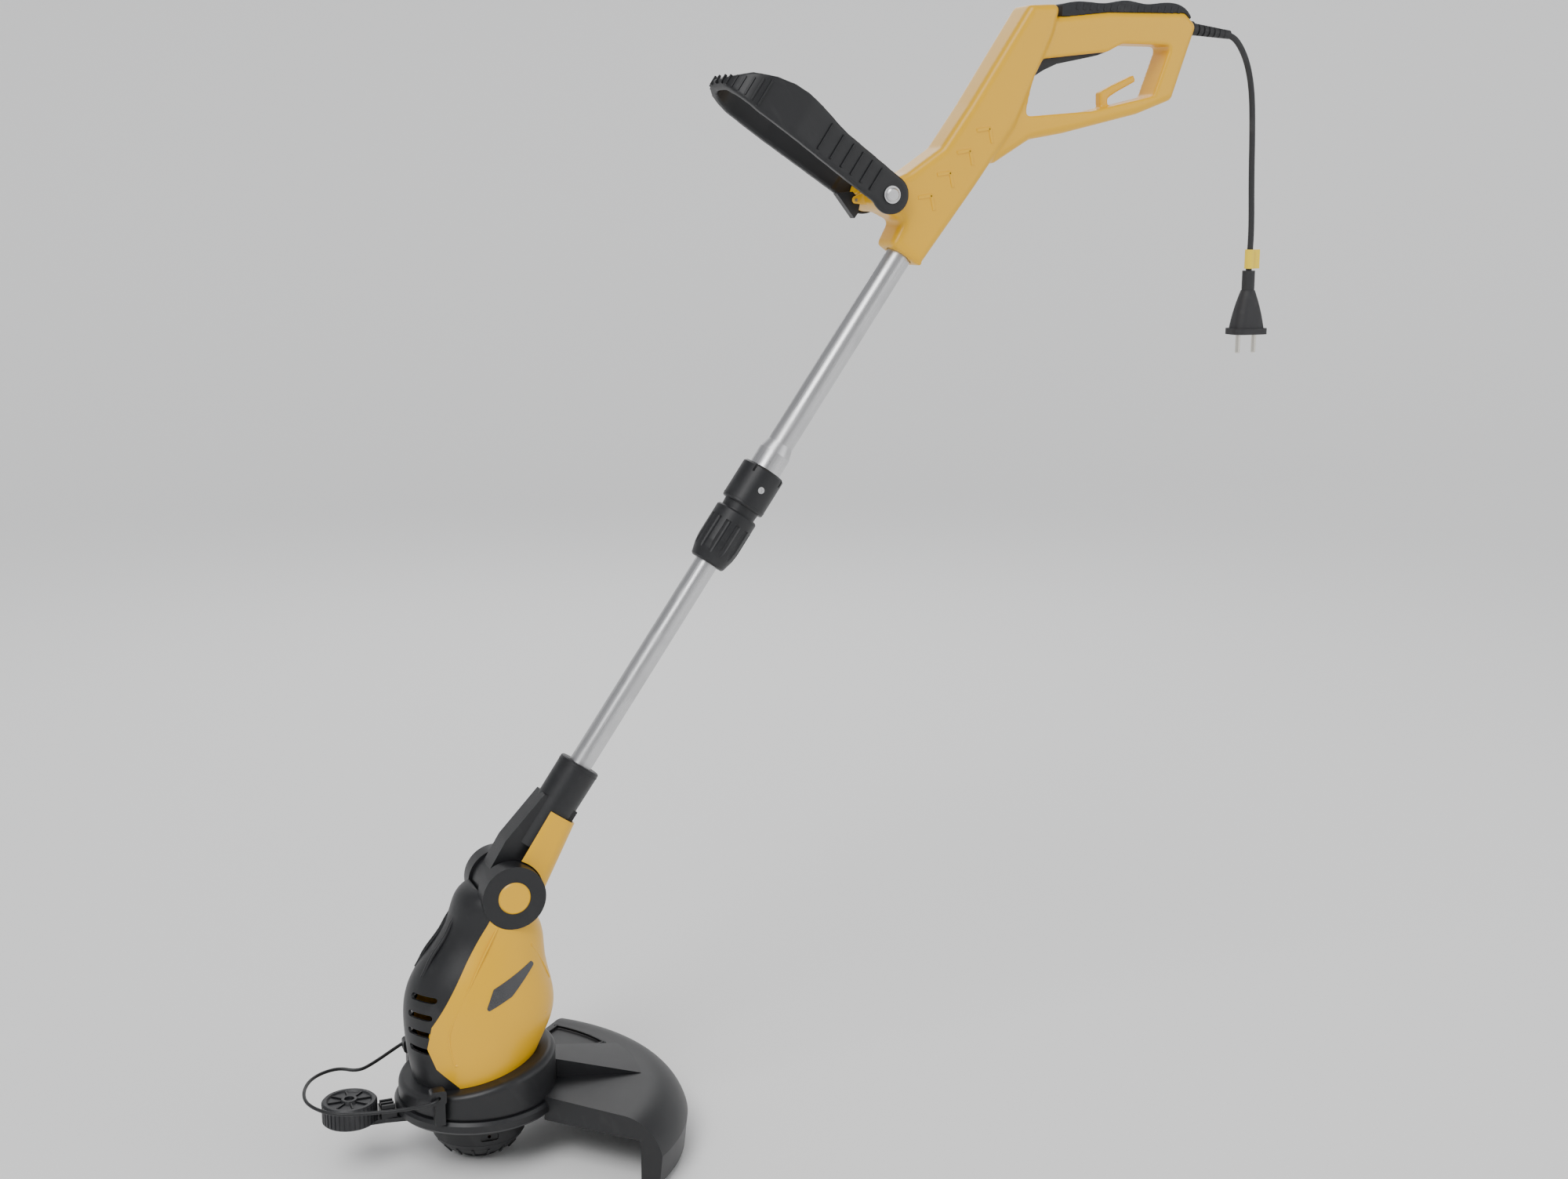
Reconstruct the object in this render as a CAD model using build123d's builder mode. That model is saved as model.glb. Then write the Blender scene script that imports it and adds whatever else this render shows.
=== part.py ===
from build123d import *
import os
from math import cos, radians, sin, tan

# ---------------------------------------------------------------- driving dimensions
# The frame: +X to the rear (towards the operator), +Y to the operator's right, +Z up.
# The origin is the flat foot of the bump button, on the axis of the spool.

SHAFT_ANGLE = 34.7                      # shaft's lean from the vertical, to the rear
TILT_X, TILT_Z = 30.5, 254.0            # tilt axis of the head
SHAFT_SIN, SHAFT_COS = sin(radians(SHAFT_ANGLE)), cos(radians(SHAFT_ANGLE))

LOWER_TUBE_R, UPPER_TUBE_R, TUBE_WALL = 11.0, 12.5, 1.2
FLARE_R = 15.5                          # widened mouth of the upper tube
SLIDE_GAP, TURN_GAP = 0.05, 0.05        # running fits, radial

# Stations along the shaft, measured from the tilt axis.
S_TUBE_FOOT, S_NECK_TOP = 66.0, 131.0
S_SLEEVE, S_SLEEVE_TOP, S_COLLAR, S_COLLAR_TOP = 350.0, 404.0, 412.0, 451.5
S_FLARE_TOP, S_CONE_TOP = 469.5, 479.5
S_LOWER_TUBE_TOP, S_HOUSING, S_UPPER_TUBE_TOP = 530.0, 688.0, 765.0

KNUCKLE_R, KNUCKLE_HALF = 26.5, 18.0    # neck's half of the tilt joint
CHEEK_R, CHEEK_IN, CHEEK_OUT = 29.3, 18.4, 38.0
BUTTON_R = 14.8
TILT_PIN_R = 5.0
SHELL = 2.5                             # wall of the moulded shells

DRUM_R, RING_R = 72.5, 76.5             # motor base and the widest ring under it
RING_Z = 49.0                           # underside of the motor base
SPOOL_R, SPOOL_TOP, COVER_TOP = 43.5, 46.5, 22.0
BUMP_R = 19.5
MOTOR_R, MOTOR_Z, MOTOR_LENGTH = 33.0, 118.0, 50.0
AXLE_R = 4.0

WHEEL_X, WHEEL_R, WHEEL_TOP = -118.5, 25.0, 70.5
WIRE_R, WIRE_HINGE_X, WIRE_HINGE_Z = 1.6, -50.0, 87.0
GUARD_R, GUARD_FOOT, GUARD_HALF_ANGLE = 195.0, 6.0, 47.0

LOOP_X, LOOP_Z, LOOP_RISE = 399.0, 876.0, 33.7      # pivot and slope of the front loop handle
LOOP_BOSS_R, LOOP_OUT, LOOP_IN = 18.0, 34.5, 28.5

BODY_HALF, GRIP_HALF = 20.0, 16.0       # half widths of the rear handle
CORD_R = 3.0
PLUG_X, PLUG_Z = 812.0, 737.5           # face of the plug that carries the pins
PIN_PITCH, PIN_R, PIN_LENGTH = 19.0, 2.4, 19.0

os.makedirs("parts", exist_ok=True)

TILT_AXIS = Axis((TILT_X, 0, TILT_Z), (0, 1, 0))
SHAFT_AXIS = Axis((TILT_X, 0, TILT_Z), (SHAFT_SIN, 0, SHAFT_COS))
# Side view of the shaft: local x runs up the shaft, local y is forward of it.
SHAFT_SIDE = Plane(origin=(TILT_X, 0, TILT_Z), x_dir=(SHAFT_SIN, 0, SHAFT_COS), z_dir=(0, -1, 0))


def save(piece, name):
    """Label a finished piece and write it as its own STEP file."""
    piece.part.label = name
    export_step(piece.part, f"parts/{name}.step")


def side_plane(y):
    """Side view plane at this y: local x is X, local y is Z, and it faces -Y."""
    return Plane(origin=(0, y, 0), x_dir=(1, 0, 0), z_dir=(0, -1, 0))


def radial_plane(angle):
    """Upright plane through the spool's axis: local x is the radius at this angle, local y is Z."""
    turn = radians(angle)
    return Plane(origin=(0, 0, 0), x_dir=(cos(turn), sin(turn), 0), z_dir=(sin(turn), -cos(turn), 0))


def shaft_plane(s):
    """Plane square to the shaft at station s: local x points to the rear, local y along +Y."""
    return Plane(
        origin=(TILT_X + s * SHAFT_SIN, 0, TILT_Z + s * SHAFT_COS),
        x_dir=(SHAFT_COS, 0, -SHAFT_SIN),
        z_dir=(SHAFT_SIN, 0, SHAFT_COS),
    )


def turned(profile, axis=SHAFT_AXIS, plane=SHAFT_SIDE):
    """A closed outline of (station, radius) points turned about the axis."""
    with BuildPart() as piece:
        with BuildSketch(plane):
            with BuildLine():
                Polyline(*profile, close=True)
            make_face()
        revolve(axis=axis)
    return piece.part


def lathe(profile):
    """A closed outline of (radius, height) points turned about the spool's axis."""
    return turned(profile, Axis.Z, Plane.XZ)


# ---------------------------------------------------------------- shaft and its clamp

with BuildPart() as upper_tube:
    bore = UPPER_TUBE_R - TUBE_WALL
    mouth = FLARE_R - TUBE_WALL
    add(turned([
        (S_COLLAR + 22, mouth), (S_COLLAR + 22, FLARE_R), (S_FLARE_TOP, FLARE_R),
        (S_CONE_TOP, UPPER_TUBE_R), (S_UPPER_TUBE_TOP, UPPER_TUBE_R),
        (S_UPPER_TUBE_TOP, bore), (S_CONE_TOP + 0.5, bore), (S_FLARE_TOP - 0.5, mouth),
    ]))
save(upper_tube, "upper_tube")

with BuildPart() as lower_tube:
    with BuildSketch(shaft_plane(S_TUBE_FOOT)):
        Circle(LOWER_TUBE_R)
        Circle(LOWER_TUBE_R - TUBE_WALL, mode=Mode.SUBTRACT)
    extrude(amount=S_LOWER_TUBE_TOP - S_TUBE_FOOT)
save(lower_tube, "lower_tube")

with BuildPart() as guide_bush:
    BUSH_R = UPPER_TUBE_R - TUBE_WALL - SLIDE_GAP
    SPIGOT_R = LOWER_TUBE_R - TUBE_WALL - TURN_GAP
    with BuildSketch(shaft_plane(S_LOWER_TUBE_TOP + 0.05)):
        Circle(BUSH_R)
    extrude(amount=12)
    with BuildSketch(shaft_plane(S_LOWER_TUBE_TOP + 0.05)):
        Circle(SPIGOT_R)
    extrude(amount=-16)
    with BuildSketch(shaft_plane(S_LOWER_TUBE_TOP + 13)):
        Circle(4.5)
    extrude(amount=-30, mode=Mode.SUBTRACT)
save(guide_bush, "guide_bush")

COLLAR_SCREW = (TILT_X + 432 * SHAFT_SIN, TILT_Z + 432 * SHAFT_COS)

# The collar holds the flared mouth of the upper tube, and its spigot carries the twist sleeve.
SPIGOT_OUT = 17.0
with BuildPart() as upper_collar:
    add(turned([
        (S_SLEEVE + 12, 14.6), (S_SLEEVE + 12, SPIGOT_OUT), (S_SLEEVE_TOP + 1, SPIGOT_OUT),
        (S_COLLAR, SPIGOT_OUT + 0.5), (S_COLLAR, 20.4), (S_COLLAR + 1.2, 21.2),
        (S_COLLAR_TOP - 2, 21.2), (S_COLLAR_TOP, 19.2), (S_COLLAR_TOP, FLARE_R + 0.05),
        (S_COLLAR + 22, FLARE_R + 0.05), (S_COLLAR + 22, 14.6),
    ]))
    # Slots that let the mouth of the collar grip the tube, and the seat of its screw.
    with BuildSketch(shaft_plane(S_COLLAR_TOP)):
        with PolarLocations(18.5, 4, start_angle=45):
            Rectangle(6.5, 2.2)
    extrude(amount=-8, mode=Mode.SUBTRACT)
    with BuildSketch(side_plane(-30)):
        with Locations(COLLAR_SCREW):
            Circle(3.3)
    extrude(amount=-11.5, mode=Mode.SUBTRACT)
save(upper_collar, "upper_collar")

with BuildPart() as collar_screw:
    with BuildSketch(side_plane(-20.6)):
        with Locations(COLLAR_SCREW):
            Circle(3.1)
    extrude(amount=-2.0)
    with BuildSketch(side_plane(-20.7)):
        with Locations(COLLAR_SCREW):
            Rectangle(4.2, 0.9)
            Rectangle(0.9, 4.2)
    extrude(amount=-1.1, mode=Mode.SUBTRACT)
save(collar_screw, "collar_screw")

with BuildPart() as clamp_collet:
    add(turned([
        (S_SLEEVE + 12, LOWER_TUBE_R + SLIDE_GAP), (S_SLEEVE + 14, 13.6), (S_SLEEVE + 18, 14.5),
        (S_COLLAR + 20, 14.5), (S_COLLAR + 20, LOWER_TUBE_R + SLIDE_GAP),
    ]))
    with BuildSketch(shaft_plane(S_SLEEVE + 10)):
        with PolarLocations(13, 6):
            Rectangle(8, 1.5)
    extrude(amount=45, mode=Mode.SUBTRACT)
save(clamp_collet, "clamp_collet")

with BuildPart() as twist_sleeve:
    add(turned([
        (S_SLEEVE, LOWER_TUBE_R + 0.4), (S_SLEEVE, 15.6), (S_SLEEVE + 1.5, 17.2),
        (S_SLEEVE + 12, 19.9), (S_SLEEVE + 20, 20.8), (S_SLEEVE_TOP - 1.5, 20.8),
        (S_SLEEVE_TOP, 19.6), (S_SLEEVE_TOP, SPIGOT_OUT + TURN_GAP),
        (S_SLEEVE + 11, SPIGOT_OUT + TURN_GAP), (S_SLEEVE + 11, LOWER_TUBE_R + 0.4),
    ]))
    # Finger flutes, round-bottomed, that run down the sleeve.
    with BuildSketch(shaft_plane(S_SLEEVE + 4)):
        with PolarLocations(22.6, 12):
            Circle(3.4)
    extrude(amount=39, mode=Mode.SUBTRACT)
save(twist_sleeve, "twist_sleeve")

# ---------------------------------------------------------------- neck

with BuildPart() as neck_socket:
    with BuildSketch(shaft_plane(44)):
        Circle(19.2)
    with BuildSketch(shaft_plane(S_NECK_TOP)):
        Circle(19.8)
    loft()
    chamfer(neck_socket.edges().group_by(Axis.Z)[-1], 1.2)
    # Web from the socket down to the knuckle, straight along its front.
    with BuildSketch(SHAFT_SIDE):
        with BuildLine():
            Polyline((0, 24.4), (12, 25.6), (38, 27.0), (92, 19.0), (92, -18), (40, -18), (0, -22),
                     close=True)
        make_face()
    extrude(amount=13, both=True)
    with BuildSketch(Plane.XZ):
        with Locations((TILT_X, TILT_Z)):
            Circle(KNUCKLE_R)
    extrude(amount=KNUCKLE_HALF, both=True)
    with BuildSketch(shaft_plane(S_TUBE_FOOT - 0.05)):
        Circle(LOWER_TUBE_R + 0.03)
    extrude(amount=80, mode=Mode.SUBTRACT)
    with BuildSketch(Plane.XZ):
        with Locations((TILT_X, TILT_Z)):
            Circle(TILT_PIN_R + 0.05)
    extrude(amount=40, both=True, mode=Mode.SUBTRACT)
save(neck_socket, "neck_socket")

with BuildPart() as neck_cover:
    with BuildSketch(shaft_plane(14)):
        with Locations((8.5, 0)):
            RectangleRounded(43, 49, 13)
    with BuildSketch(shaft_plane(82)):
        with Locations((3.5, 0)):
            RectangleRounded(37, 43.6, 14)
    loft()
    # Open along the front, where the web of the socket runs.
    with BuildSketch(shaft_plane(10)):
        with Locations((-7.5, 0)):
            RectangleRounded(71, 45.4, 11)
    with BuildSketch(shaft_plane(84)):
        with Locations((-4.5, 0)):
            RectangleRounded(49.4, 40, 12)
    loft(mode=Mode.SUBTRACT)
    with BuildSketch(Plane.XZ):
        with Locations((TILT_X, TILT_Z)):
            Circle(CHEEK_R + 1.4)
    extrude(amount=60, both=True, mode=Mode.SUBTRACT)
save(neck_cover, "neck_cover")

# ---------------------------------------------------------------- head shells

# Sections of the head: height, centre in X, half depth in X, half width in Y.
HEAD_SECTIONS = [
    (66, -5, 52, 54), (92, -4, 57.5, 57), (118, 0, 65, 57), (144, 3.5, 69.5, 55),
    (168, 4, 65.5, 51), (192, 9, 56.5, 45), (222, 17, 43, 39), (258, 26, 27, 33),
]
# Where the black front shell ends and the yellow rear shell begins, in side view.
HEAD_SPLIT = [(22, 262), (5, 231), (-15, 199), (-36, 163), (-48.5, 142), (-52.5, 121), (-46, 103),
              (-28, 87)]
# The slanted joint between the shells and the motor base.
SLANT_RISE = 11.0
SLANT = Plane(origin=(-28, 0, 86), x_dir=(cos(radians(SLANT_RISE)), 0, sin(radians(SLANT_RISE))),
              z_dir=(-sin(radians(SLANT_RISE)), 0, cos(radians(SLANT_RISE))))


def head_form(inset):
    """The outer form of the head, or the same form drawn in by the wall thickness."""
    with BuildPart() as form:
        for height, centre, half_depth, half_width in HEAD_SECTIONS:
            with BuildSketch(Plane.XY.offset(height - (inset if height > 250 else 0))):
                with Locations((centre, 0)):
                    Ellipse(half_depth - inset, half_width - inset)
        loft()
    return form.part


def tilt_disc(radius, y_from, y_to):
    """A disc about the tilt axis between two distances along Y."""
    with BuildPart() as disc:
        with BuildSketch(side_plane(y_from)):
            with Locations((TILT_X, TILT_Z)):
                Circle(radius)
        extrude(amount=y_from - y_to)
    return disc.part


with BuildPart() as above_slant:
    with BuildSketch(SLANT.offset(0.1)):
        Rectangle(400, 300)
    extrude(amount=300)

with BuildPart() as front_region:
    with BuildSketch(Plane.XZ):
        with BuildLine():
            Polyline(*HEAD_SPLIT, (-30, 40), (-150, 40), (-150, 262), close=True)
        make_face()
    extrude(amount=100, both=True)

with BuildPart() as head_shells:
    add(head_form(0))
    add(head_form(SHELL), mode=Mode.SUBTRACT)
    add(above_slant.part, mode=Mode.INTERSECT)
    add(tilt_disc(KNUCKLE_R + 0.5, -18.2, 18.2), mode=Mode.SUBTRACT)

with BuildPart() as head_front_shell:
    add(head_shells.part)
    add(front_region.part, mode=Mode.INTERSECT)
    add(tilt_disc(CHEEK_R - 0.5, -60, 60), mode=Mode.SUBTRACT)
    # Cheeks that take the tilt joint between them.
    add(tilt_disc(CHEEK_R, -CHEEK_OUT, -CHEEK_IN))
    add(tilt_disc(CHEEK_R, CHEEK_IN, CHEEK_OUT - 2))
    add(tilt_disc(BUTTON_R + 0.1, -60, -26), mode=Mode.SUBTRACT)
    add(tilt_disc(TILT_PIN_R + 0.05, -30, 33), mode=Mode.SUBTRACT)
    # Cooling slots on both flanks of the front.
    for height in (166, 150, 134, 118):
        for side in (-1, 1):
            with BuildSketch(Plane.YZ.offset(-90)):
                with Locations((side * 24, height)):
                    SlotOverall(25, 5.5)
            extrude(amount=60, mode=Mode.SUBTRACT)
save(head_front_shell, "head_front_shell")

with BuildPart() as head_rear_shell:
    add(head_shells.part)
    add(front_region.part, mode=Mode.SUBTRACT)
    add(tilt_disc(CHEEK_R + 0.3, -60, 60), mode=Mode.SUBTRACT)
save(head_rear_shell, "head_rear_shell")

with BuildPart() as tilt_button:
    add(tilt_disc(BUTTON_R, -39.0, -33.0))
    chamfer(tilt_button.edges().group_by(Axis.Y)[0], 1.2)
    add(tilt_disc(3.4, -33.0, -20.0))
save(tilt_button, "tilt_button")

with BuildPart() as tilt_pin:
    add(tilt_disc(TILT_PIN_R, -25.8, 32.9))
    add(tilt_disc(3.5, -27, -14), mode=Mode.SUBTRACT)
save(tilt_pin, "tilt_pin")

SPRING_COILS, SPRING_LENGTH = 2, 2.6

with BuildPart() as tilt_spring:
    with BuildLine() as coil:
        Helix(SPRING_LENGTH / SPRING_COILS, SPRING_LENGTH, 9.5, center=(TILT_X, -32.3, TILT_Z),
              direction=(0, 1, 0))
    with BuildSketch(Plane(origin=coil.wire() @ 0, z_dir=coil.wire() % 0)):
        Circle(0.6)
    sweep(is_frenet=True)
save(tilt_spring, "tilt_spring")

# ---------------------------------------------------------------- motor base and motor

GUARD_SCREW_PLACES = [(56.8, -35.5), (56.8, 35.5)]

with BuildPart() as drum_core:
    with BuildSketch(Plane.XY.offset(RING_Z + 3)):
        Circle(DRUM_R - SHELL)
    extrude(amount=70)
    add(above_slant.part.moved(Location((0, 0, -3.5))), mode=Mode.SUBTRACT)

with BuildPart() as motor_base:
    with BuildSketch(Plane.XY.offset(RING_Z + 9)):
        Circle(DRUM_R)
    extrude(amount=60)
    add(above_slant.part.moved(Location((0, 0, -0.2))), mode=Mode.SUBTRACT)
    slant_face = motor_base.faces().sort_by(Axis((0, 0, 0), tuple(SLANT.z_dir)))[-1]
    fillet(slant_face.edges(), 6)
    add(drum_core.part, mode=Mode.SUBTRACT)
    add(head_form(SHELL + 1), mode=Mode.SUBTRACT)
    add(lathe([
        (24, RING_Z), (RING_R - 3, RING_Z), (RING_R, RING_Z + 3), (RING_R, RING_Z + 9),
        (RING_R - 2, RING_Z + 12), (DRUM_R - 1, RING_Z + 12), (DRUM_R - SHELL, RING_Z + 10),
        (DRUM_R - SHELL, RING_Z + 3), (24, RING_Z + 3),
    ]))
    with BuildSketch(Plane.XY.offset(RING_Z - 1)):
        with Locations(*GUARD_SCREW_PLACES):
            Circle(2.02)
    extrude(amount=6, mode=Mode.SUBTRACT)
save(motor_base, "motor_base")

with BuildPart() as field_stator:
    with BuildSketch(Plane.XY.offset(MOTOR_Z)):
        Circle(MOTOR_R)
        Circle(21, mode=Mode.SUBTRACT)
        with PolarLocations(MOTOR_R + 4, 2):
            Rectangle(16, 30, mode=Mode.SUBTRACT)
    extrude(amount=MOTOR_LENGTH)
save(field_stator, "field_stator")

with BuildPart() as armature:
    with BuildSketch(Plane.XY.offset(MOTOR_Z + 2)):
        Circle(20)
        with PolarLocations(19, 12):
            Rectangle(5, 2, mode=Mode.SUBTRACT)
        Circle(AXLE_R, mode=Mode.SUBTRACT)
    extrude(amount=MOTOR_LENGTH - 4)
save(armature, "armature")

with BuildPart() as commutator:
    with BuildSketch(Plane.XY.offset(MOTOR_Z + MOTOR_LENGTH + 4)):
        Circle(10.5)
        with PolarLocations(10.5, 16):
            Rectangle(1.6, 0.6, mode=Mode.SUBTRACT)
        Circle(AXLE_R, mode=Mode.SUBTRACT)
    extrude(amount=13)
save(commutator, "commutator")

with BuildPart() as carbon_brushes:
    with BuildSketch(Plane.XY.offset(MOTOR_Z + MOTOR_LENGTH + 7)):
        with PolarLocations(18.3, 2):
            Rectangle(14, 6)
    extrude(amount=7)
save(carbon_brushes, "carbon_brushes")

with BuildPart() as motor_shaft:
    add(lathe([(0, 25), (AXLE_R, 25), (AXLE_R, 198), (AXLE_R - 1, 199), (0, 199)]))
save(motor_shaft, "motor_shaft")

BEARING_R, BEARING_HEIGHT = 11.0, 7.0
for bearing_name, bearing_foot in (("lower_bearing", 76.0), ("upper_bearing", 189.0)):
    with BuildPart() as bearing:
        with BuildSketch(Plane.XY.offset(bearing_foot)):
            Circle(BEARING_R)
            Circle(AXLE_R + 0.03, mode=Mode.SUBTRACT)
        extrude(amount=BEARING_HEIGHT)
        for cut_at in (bearing_foot, bearing_foot + BEARING_HEIGHT - 0.8):
            with BuildSketch(Plane.XY.offset(cut_at)):
                Circle(9)
                Circle(6, mode=Mode.SUBTRACT)
            extrude(amount=0.8, mode=Mode.SUBTRACT)
    save(bearing, bearing_name)

with BuildPart() as bearing_plate:
    # Spider that carries the lower bearing above the motor base.
    with BuildSketch(Plane.XY.offset(74)):
        Circle(15)
        with PolarLocations(39, 4, start_angle=45):
            Rectangle(54, 8)
        Circle(AXLE_R + 2, mode=Mode.SUBTRACT)
    extrude(amount=2)
    with BuildSketch(Plane.XY.offset(76)):
        Circle(BEARING_R + 2)
        Circle(BEARING_R, mode=Mode.SUBTRACT)
    extrude(amount=BEARING_HEIGHT)
    with BuildSketch(Plane.XY.offset(RING_Z + 3)):
        with PolarLocations(62, 4, start_angle=45):
            Circle(3.5)
    extrude(amount=22)
save(bearing_plate, "bearing_plate")

with BuildPart() as upper_bearing_cup:
    # Bridge that holds the upper bearing and the brushes on the stator.
    with BuildSketch(Plane.XY.offset(187)):
        Rectangle(58, 14)
        Circle(BEARING_R + 2.5)
        Circle(AXLE_R + 2, mode=Mode.SUBTRACT)
    extrude(amount=2)
    with BuildSketch(Plane.XY.offset(189)):
        Circle(BEARING_R + 2.5)
        Circle(BEARING_R, mode=Mode.SUBTRACT)
    extrude(amount=BEARING_HEIGHT)
    with BuildSketch(Plane.XY.offset(MOTOR_Z + MOTOR_LENGTH)):
        with Locations((-27.5, 0), (27.5, 0)):
            Rectangle(3, 14)
    extrude(amount=187 - MOTOR_Z - MOTOR_LENGTH)
save(upper_bearing_cup, "upper_bearing_cup")

with BuildPart() as cooling_fan:
    with BuildSketch(Plane.XY.offset(88)):
        Circle(43)
        Circle(AXLE_R, mode=Mode.SUBTRACT)
    extrude(amount=2)
    with BuildSketch(Plane.XY.offset(90)):
        Circle(9)
        Circle(AXLE_R, mode=Mode.SUBTRACT)
    extrude(amount=12)
    with BuildSketch(Plane.XY.offset(90)):
        with PolarLocations(27, 9):
            Rectangle(30, 1.8, rotation=28)
    extrude(amount=12)
save(cooling_fan, "cooling_fan")

# ---------------------------------------------------------------- spool head

with BuildPart() as spool_housing:
    add(lathe([
        (AXLE_R, 38), (12, 38), (12, 43), (SPOOL_R - 3, 43), (SPOOL_R - 2.5, COVER_TOP + 0.2),
        (SPOOL_R - 1, COVER_TOP + 0.2), (SPOOL_R, 34), (SPOOL_R, 44), (SPOOL_R - 2, SPOOL_TOP),
        (AXLE_R, SPOOL_TOP),
    ]))
    # Windows for the two eyelets, and finger notches between them.
    with BuildSketch(Plane.XZ):
        with Locations((0, 30)):
            RectangleRounded(17, 7, 2.5)
    extrude(amount=60, both=True, mode=Mode.SUBTRACT)
save(spool_housing, "spool_housing")

with BuildPart() as eyelets:
    for side in (-1, 1):
        with BuildSketch(side_plane(side * 41.2)):
            with Locations((0, 30)):
                RectangleRounded(16.8, 6.8, 2.4)
                Circle(1.6, mode=Mode.SUBTRACT)
        extrude(amount=side * 1.6)
save(eyelets, "eyelets")

with BuildPart() as spool_cover:
    add(lathe([
        (BUMP_R + 0.5, 5.5), (26, 6.8), (33, 10.5), (38.2, 16), (SPOOL_R - 1, COVER_TOP),
        (SPOOL_R - 3.2, COVER_TOP), (36, 17), (31.5, 13), (25, 9.5), (BUMP_R + 0.5, 8.3),
    ]))
save(spool_cover, "spool_cover")

with BuildPart() as bump_button:
    add(lathe([
        (0, 0), (BUMP_R - 2.5, 0), (BUMP_R - 0.6, 1.0), (BUMP_R, 3), (BUMP_R, 9.6), (24, 11.2),
        (24, 12.2), (BUMP_R - 2, 12.2), (BUMP_R - 2, 3.2), (0, 3.2),
    ]))
save(bump_button, "bump_button")

with BuildPart() as spool:
    add(lathe([
        (8, 18), (30, 18), (35, 20.5), (35, 22), (16, 22), (16, 35.5), (37, 35.5), (37, 37),
        (13.5, 37), (13.5, 24), (8, 24),
    ]))
save(spool, "spool")

with BuildPart() as wound_line:
    # The coiled cutting line, with a groove between each turn and the next.
    TURNS, TURN_PITCH = 7, 1.8
    with BuildSketch(Plane.XZ):
        with Locations((23, 28.8)):
            Rectangle(13, TURNS * TURN_PITCH - 0.4)
        with GridLocations(0, TURN_PITCH, 1, TURNS - 1):
            with Locations((29.5, 28.8)):
                Rectangle(0.8, 0.3, mode=Mode.SUBTRACT)
    revolve(axis=Axis.Z)
save(wound_line, "wound_line")

with BuildPart() as bump_spring:
    with BuildLine() as coil:
        Helix(2.6, 13.0, 11.0, center=(0, 0, 4.1))
    with BuildSketch(Plane(origin=coil.wire() @ 0, z_dir=coil.wire() % 0)):
        Circle(0.7)
    sweep(is_frenet=True)
save(bump_spring, "bump_spring")

# ---------------------------------------------------------------- edging wheel and plant guard

with BuildPart() as wheel_bracket:
    with BuildSketch(Plane.XY.offset(45)):
        with BuildLine():
            Polyline((-58, -14), (-88, -9), (WHEEL_X, -8), (WHEEL_X, 8), (-88, 9), (-58, 14),
                     close=True)
        make_face()
        with Locations((WHEEL_X, 0)):
            Circle(8)
    extrude(amount=3.95)
    with BuildSketch(Plane.XY.offset(48.95)):
        with Locations((-84.5, 0)):
            Rectangle(14, 18)
    extrude(amount=8)
    with BuildSketch(Plane.XY.offset(56.95)):
        with Locations((-84.5, -6), (-84.5, 0), (-84.5, 6)):
            Rectangle(12, 2.4)
    extrude(amount=4)
    with BuildSketch(Plane.XY.offset(40)):
        with Locations((WHEEL_X, 0)):
            Circle(3.0)
    extrude(amount=40, mode=Mode.SUBTRACT)
save(wheel_bracket, "wheel_bracket")

with BuildPart() as wheel_axle:
    add(lathe([(0, 42.9), (5, 42.9), (5, 44.9), (2.95, 44.9), (2.95, 67.5), (0, 67.5)])
        .moved(Location((WHEEL_X, 0, 0))))
save(wheel_axle, "wheel_axle")

with BuildPart() as edging_wheel:
    add(lathe([
        (3.0, 49.3), (9, 49.3), (10, 50.3), (19, 50.3), (20, 49.3), (WHEEL_R - 1.5, 49.3),
        (WHEEL_R, 50.8), (WHEEL_R, 68), (WHEEL_R - 1.5, 69.5), (20.5, 69.5), (19, 68),
        (8, 68), (7, WHEEL_TOP), (4.6, WHEEL_TOP), (4.6, 68.2), (3.0, 68.2),
    ]).moved(Location((WHEEL_X, 0, 0))))
    # Knurled tread.
    with BuildSketch(Plane.XY.offset(47)):
        with Locations((WHEEL_X, 0)):
            with PolarLocations(WHEEL_R + 0.2, 36):
                Rectangle(1.6, 1.5)
    extrude(amount=23, mode=Mode.SUBTRACT)
save(edging_wheel, "edging_wheel")

WIRE_ROUTE = [
    (WIRE_HINGE_X, -56, WIRE_HINGE_Z), (WIRE_HINGE_X, -72, WIRE_HINGE_Z), (-84, -54, 76),
    (-112, -44, 74), (-140, -38, 75), (-158, -12, 76), (-157, 18, 76), (-144, 48, 75),
    (-119, 60, 75), (-102, 49, 73), (-86, 57, 75), (WIRE_HINGE_X, 72, WIRE_HINGE_Z),
    (WIRE_HINGE_X, 56, WIRE_HINGE_Z),
]
with BuildPart() as plant_guard_wire:
    with BuildLine() as route:
        FilletPolyline(*WIRE_ROUTE, radius=[4, 14, 20, 16, 16, 16, 16, 14, 12, 12, 4])
    with BuildSketch(Plane(origin=route.wire() @ 0, z_dir=route.wire() % 0)):
        Circle(WIRE_R)
    sweep()
save(plant_guard_wire, "plant_guard_wire")

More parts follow.
